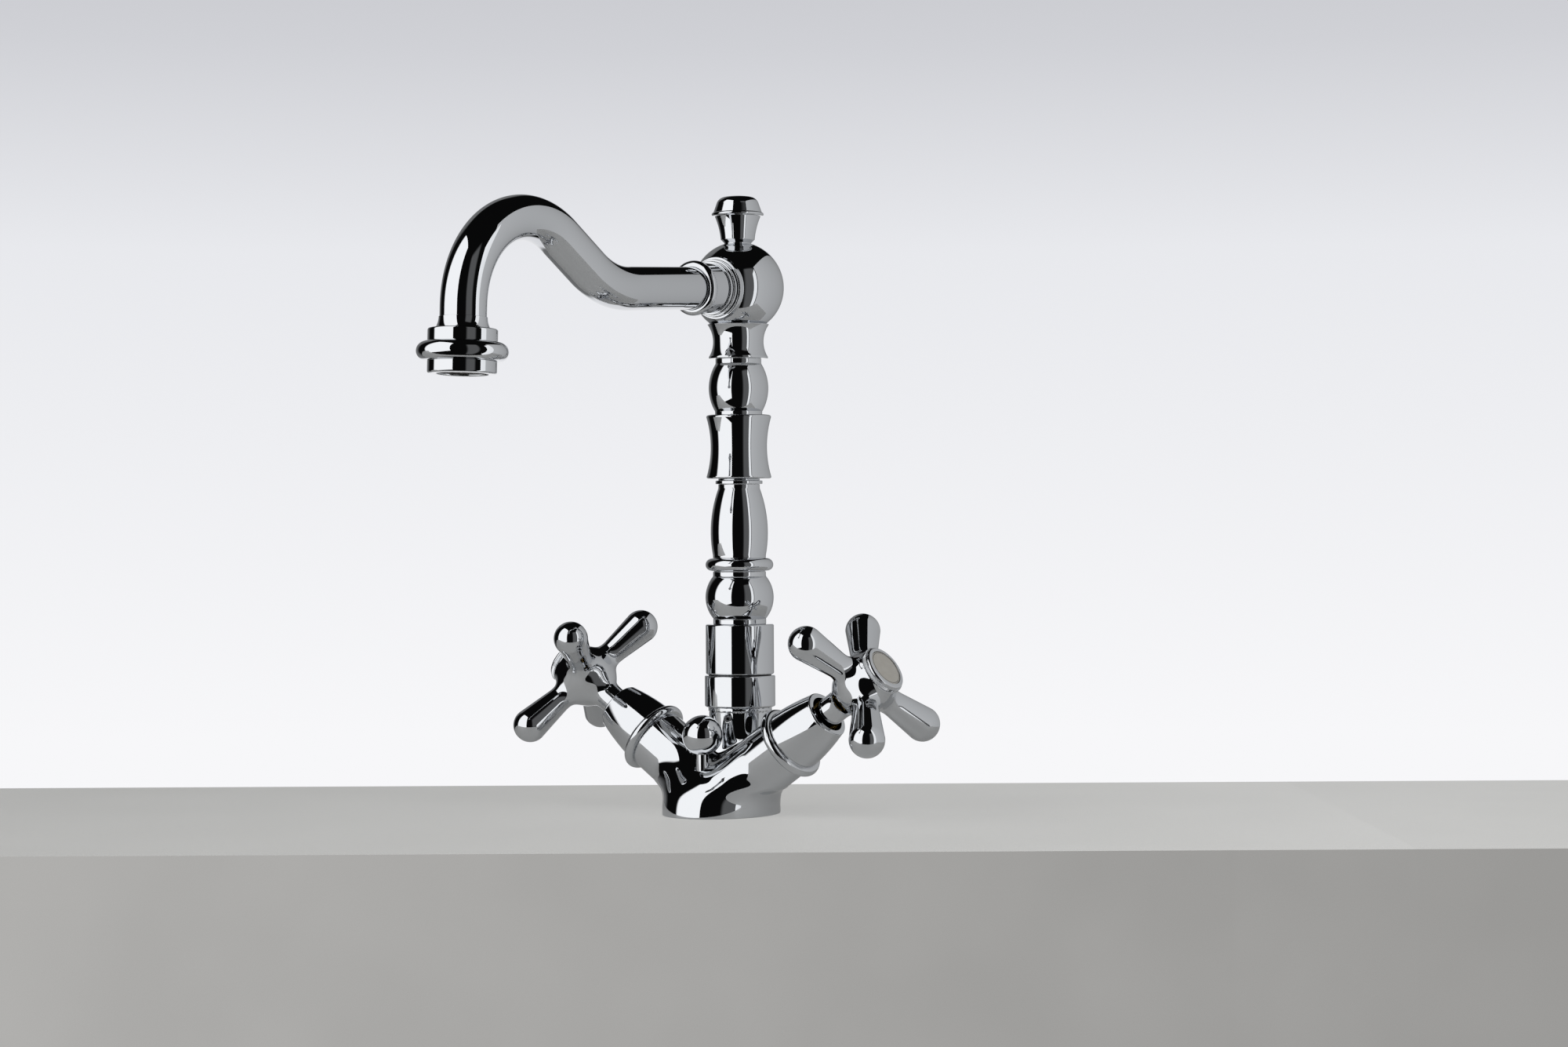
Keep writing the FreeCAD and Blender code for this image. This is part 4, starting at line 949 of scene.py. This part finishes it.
def card(name, first, last, bottom, top, strength, last_share):
    """Upright board between two places on the ground, each (to the right, towards the camera), that only
    the polished metal sees. Its tone goes from its strength at the first place to a share of it at the
    last."""
    made = bpy.data.materials.new(name)
    made.use_nodes = True
    tree = made.node_tree
    tree.nodes.clear()
    along = add(tree, "ShaderNodeUVMap", uv_map="along").outputs["UV"]
    across = add(tree, "ShaderNodeSeparateXYZ", {"Vector": along}).outputs["X"]
    tone = add(tree, "ShaderNodeMapRange", {
        "Value": across, "To Min": strength, "To Max": strength * last_share,
    }).outputs["Result"]
    light = add(tree, "ShaderNodeEmission", {"Color": linear("#F4F5F6"), "Strength": tone}).outputs[0]
    add(tree, "ShaderNodeOutputMaterial", {"Surface": light})
    start, end = (right * place[0] + towards * place[1] for place in (first, last))
    mesh = bpy.data.meshes.new(name)
    corners = (start + UP * bottom, end + UP * bottom, end + UP * top, start + UP * top)
    mesh.from_pydata([tuple(corner * MM) for corner in corners], [], [(0, 1, 2, 3)])
    mesh.uv_layers.new(name="along").uv.foreach_set("vector", (0, 0, 1, 0, 1, 1, 0, 1))
    mesh.materials.append(made)
    thing = bpy.data.objects.new(name, mesh)
    thing.visible_camera = False
    thing.visible_diffuse = False
    thing.visible_shadow = False
    bpy.context.scene.collection.objects.link(thing)


# White softbox to the left, a fill that the metal doesn't mirror, a grey board to the right and its edge
softbox("left softbox", (-928, -42), (-443, 870), -250, 1500, 1.3, 0.12)
softbox("right fill", (500, 1300), (1300, 500), 100, 1200, 1.9, 0.02, in_metal=False)
card("right_board", (256, 192), (256, -900), -300, 531, 0.66, 0.3)
card("board_edge", (251, 274), (190, 150), -300, 420, 1.3, 0.9)

# Studio round the tap, by direction: dark but for dim walls at front right and back left, white behind
world = bpy.data.worlds.new("studio")
bpy.context.scene.world = world
world.use_nodes = True
sky = world.node_tree
sky.nodes.clear()
direction = add(sky, "ShaderNodeTexCoord").outputs["Generated"]
PANEL_FOOT = -3.0
PANEL_FOOT_SOFT = 0.1
BACKDROP_LOW = -0.07
BACKDROP_HIGH = 0.2


def between(value, low, high, low_soft, high_soft):
    """One between two values, with soft edges."""
    rise = add(sky, "ShaderNodeMapRange", {
        "Value": value, "From Min": low - low_soft, "From Max": low + low_soft,
    }, interpolation_type="SMOOTHSTEP").outputs["Result"]
    return add(sky, "ShaderNodeMapRange", {
        "Value": value, "From Min": high - high_soft, "From Max": high + high_soft,
        "To Min": rise, "To Max": 0.0,
    }, interpolation_type="SMOOTHSTEP").outputs["Result"]


def panel(bearing, left_edge, right_edge, high, left_soft, right_soft, high_soft):
    """One where the direction meets an upright flat panel: its edges are angles left and right of its
    bearing and a slope above the level, each with its own softness. It goes far below the level."""
    angle = math.radians(bearing)
    ahead = along_vector(sky, direction, right * math.sin(angle) + towards * math.cos(angle))
    sideways = along_vector(sky, direction, right * math.cos(angle) - towards * math.sin(angle))
    aside = maths(sky, "DIVIDE", sideways, ahead)
    above = maths(sky, "DIVIDE", along_vector(sky, direction, UP), ahead)
    left, end = math.tan(math.radians(left_edge)), math.tan(math.radians(right_edge))
    wide = between(aside, left, end, left_soft, right_soft)
    tall = between(above, PANEL_FOOT, high, PANEL_FOOT_SOFT, high_soft)
    facing = maths(sky, "GREATER_THAN", ahead, 0.0)
    return maths(sky, "MULTIPLY", maths(sky, "MULTIPLY", wide, tall), facing)


behind = panel(180, -15, 15, 0.25, 0.1, 0.1, 0.15)
glow = 0.004
for share, strength in (
    (panel(35, -16, 13, 0.95, 0.08, 0.08, 0.1), 0.12),
    (panel(-155, -25, 18, 1.0, 0.1, 0.2, 0.1), 0.2),
    (behind, 0.9),
):
    glow = maths(sky, "ADD", maths(sky, "MULTIPLY", share, strength), glow)
studio = add(sky, "ShaderNodeBackground", {"Strength": glow, "Color": linear("#F7F8F9")}).outputs[0]
height = add(sky, "ShaderNodeMapRange", {
    "Value": along_vector(sky, direction, UP), "From Min": BACKDROP_LOW, "From Max": BACKDROP_HIGH,
}).outputs["Result"]
ramp = add(sky, "ShaderNodeValToRGB", {"Fac": height})
stops = ramp.color_ramp.elements
stops[0].color = linear("#F7F7F9")
stops[-1].color = linear("#C6C7CC")
for place, code in ((0.6, "#E8E9ED"), (0.85, "#D0D1D6")):
    stops.new(place).color = linear(code)
backdrop = add(sky, "ShaderNodeBackground", {"Color": ramp.outputs["Color"], "Strength": 1.0}).outputs[0]
path = add(sky, "ShaderNodeLightPath").outputs
mirrored = maths(sky, "MAXIMUM", path["Is Glossy Ray"], path["Is Transmission Ray"])
seen = maths(sky, "MAXIMUM", path["Is Camera Ray"], maths(sky, "MULTIPLY", mirrored, behind))
mixed = add(sky, "ShaderNodeMixShader", {0: seen, 1: studio, 2: backdrop}).outputs[0]
add(sky, "ShaderNodeOutputWorld", {"Surface": mixed})

bpy.context.scene.view_settings.view_transform = "Standard"
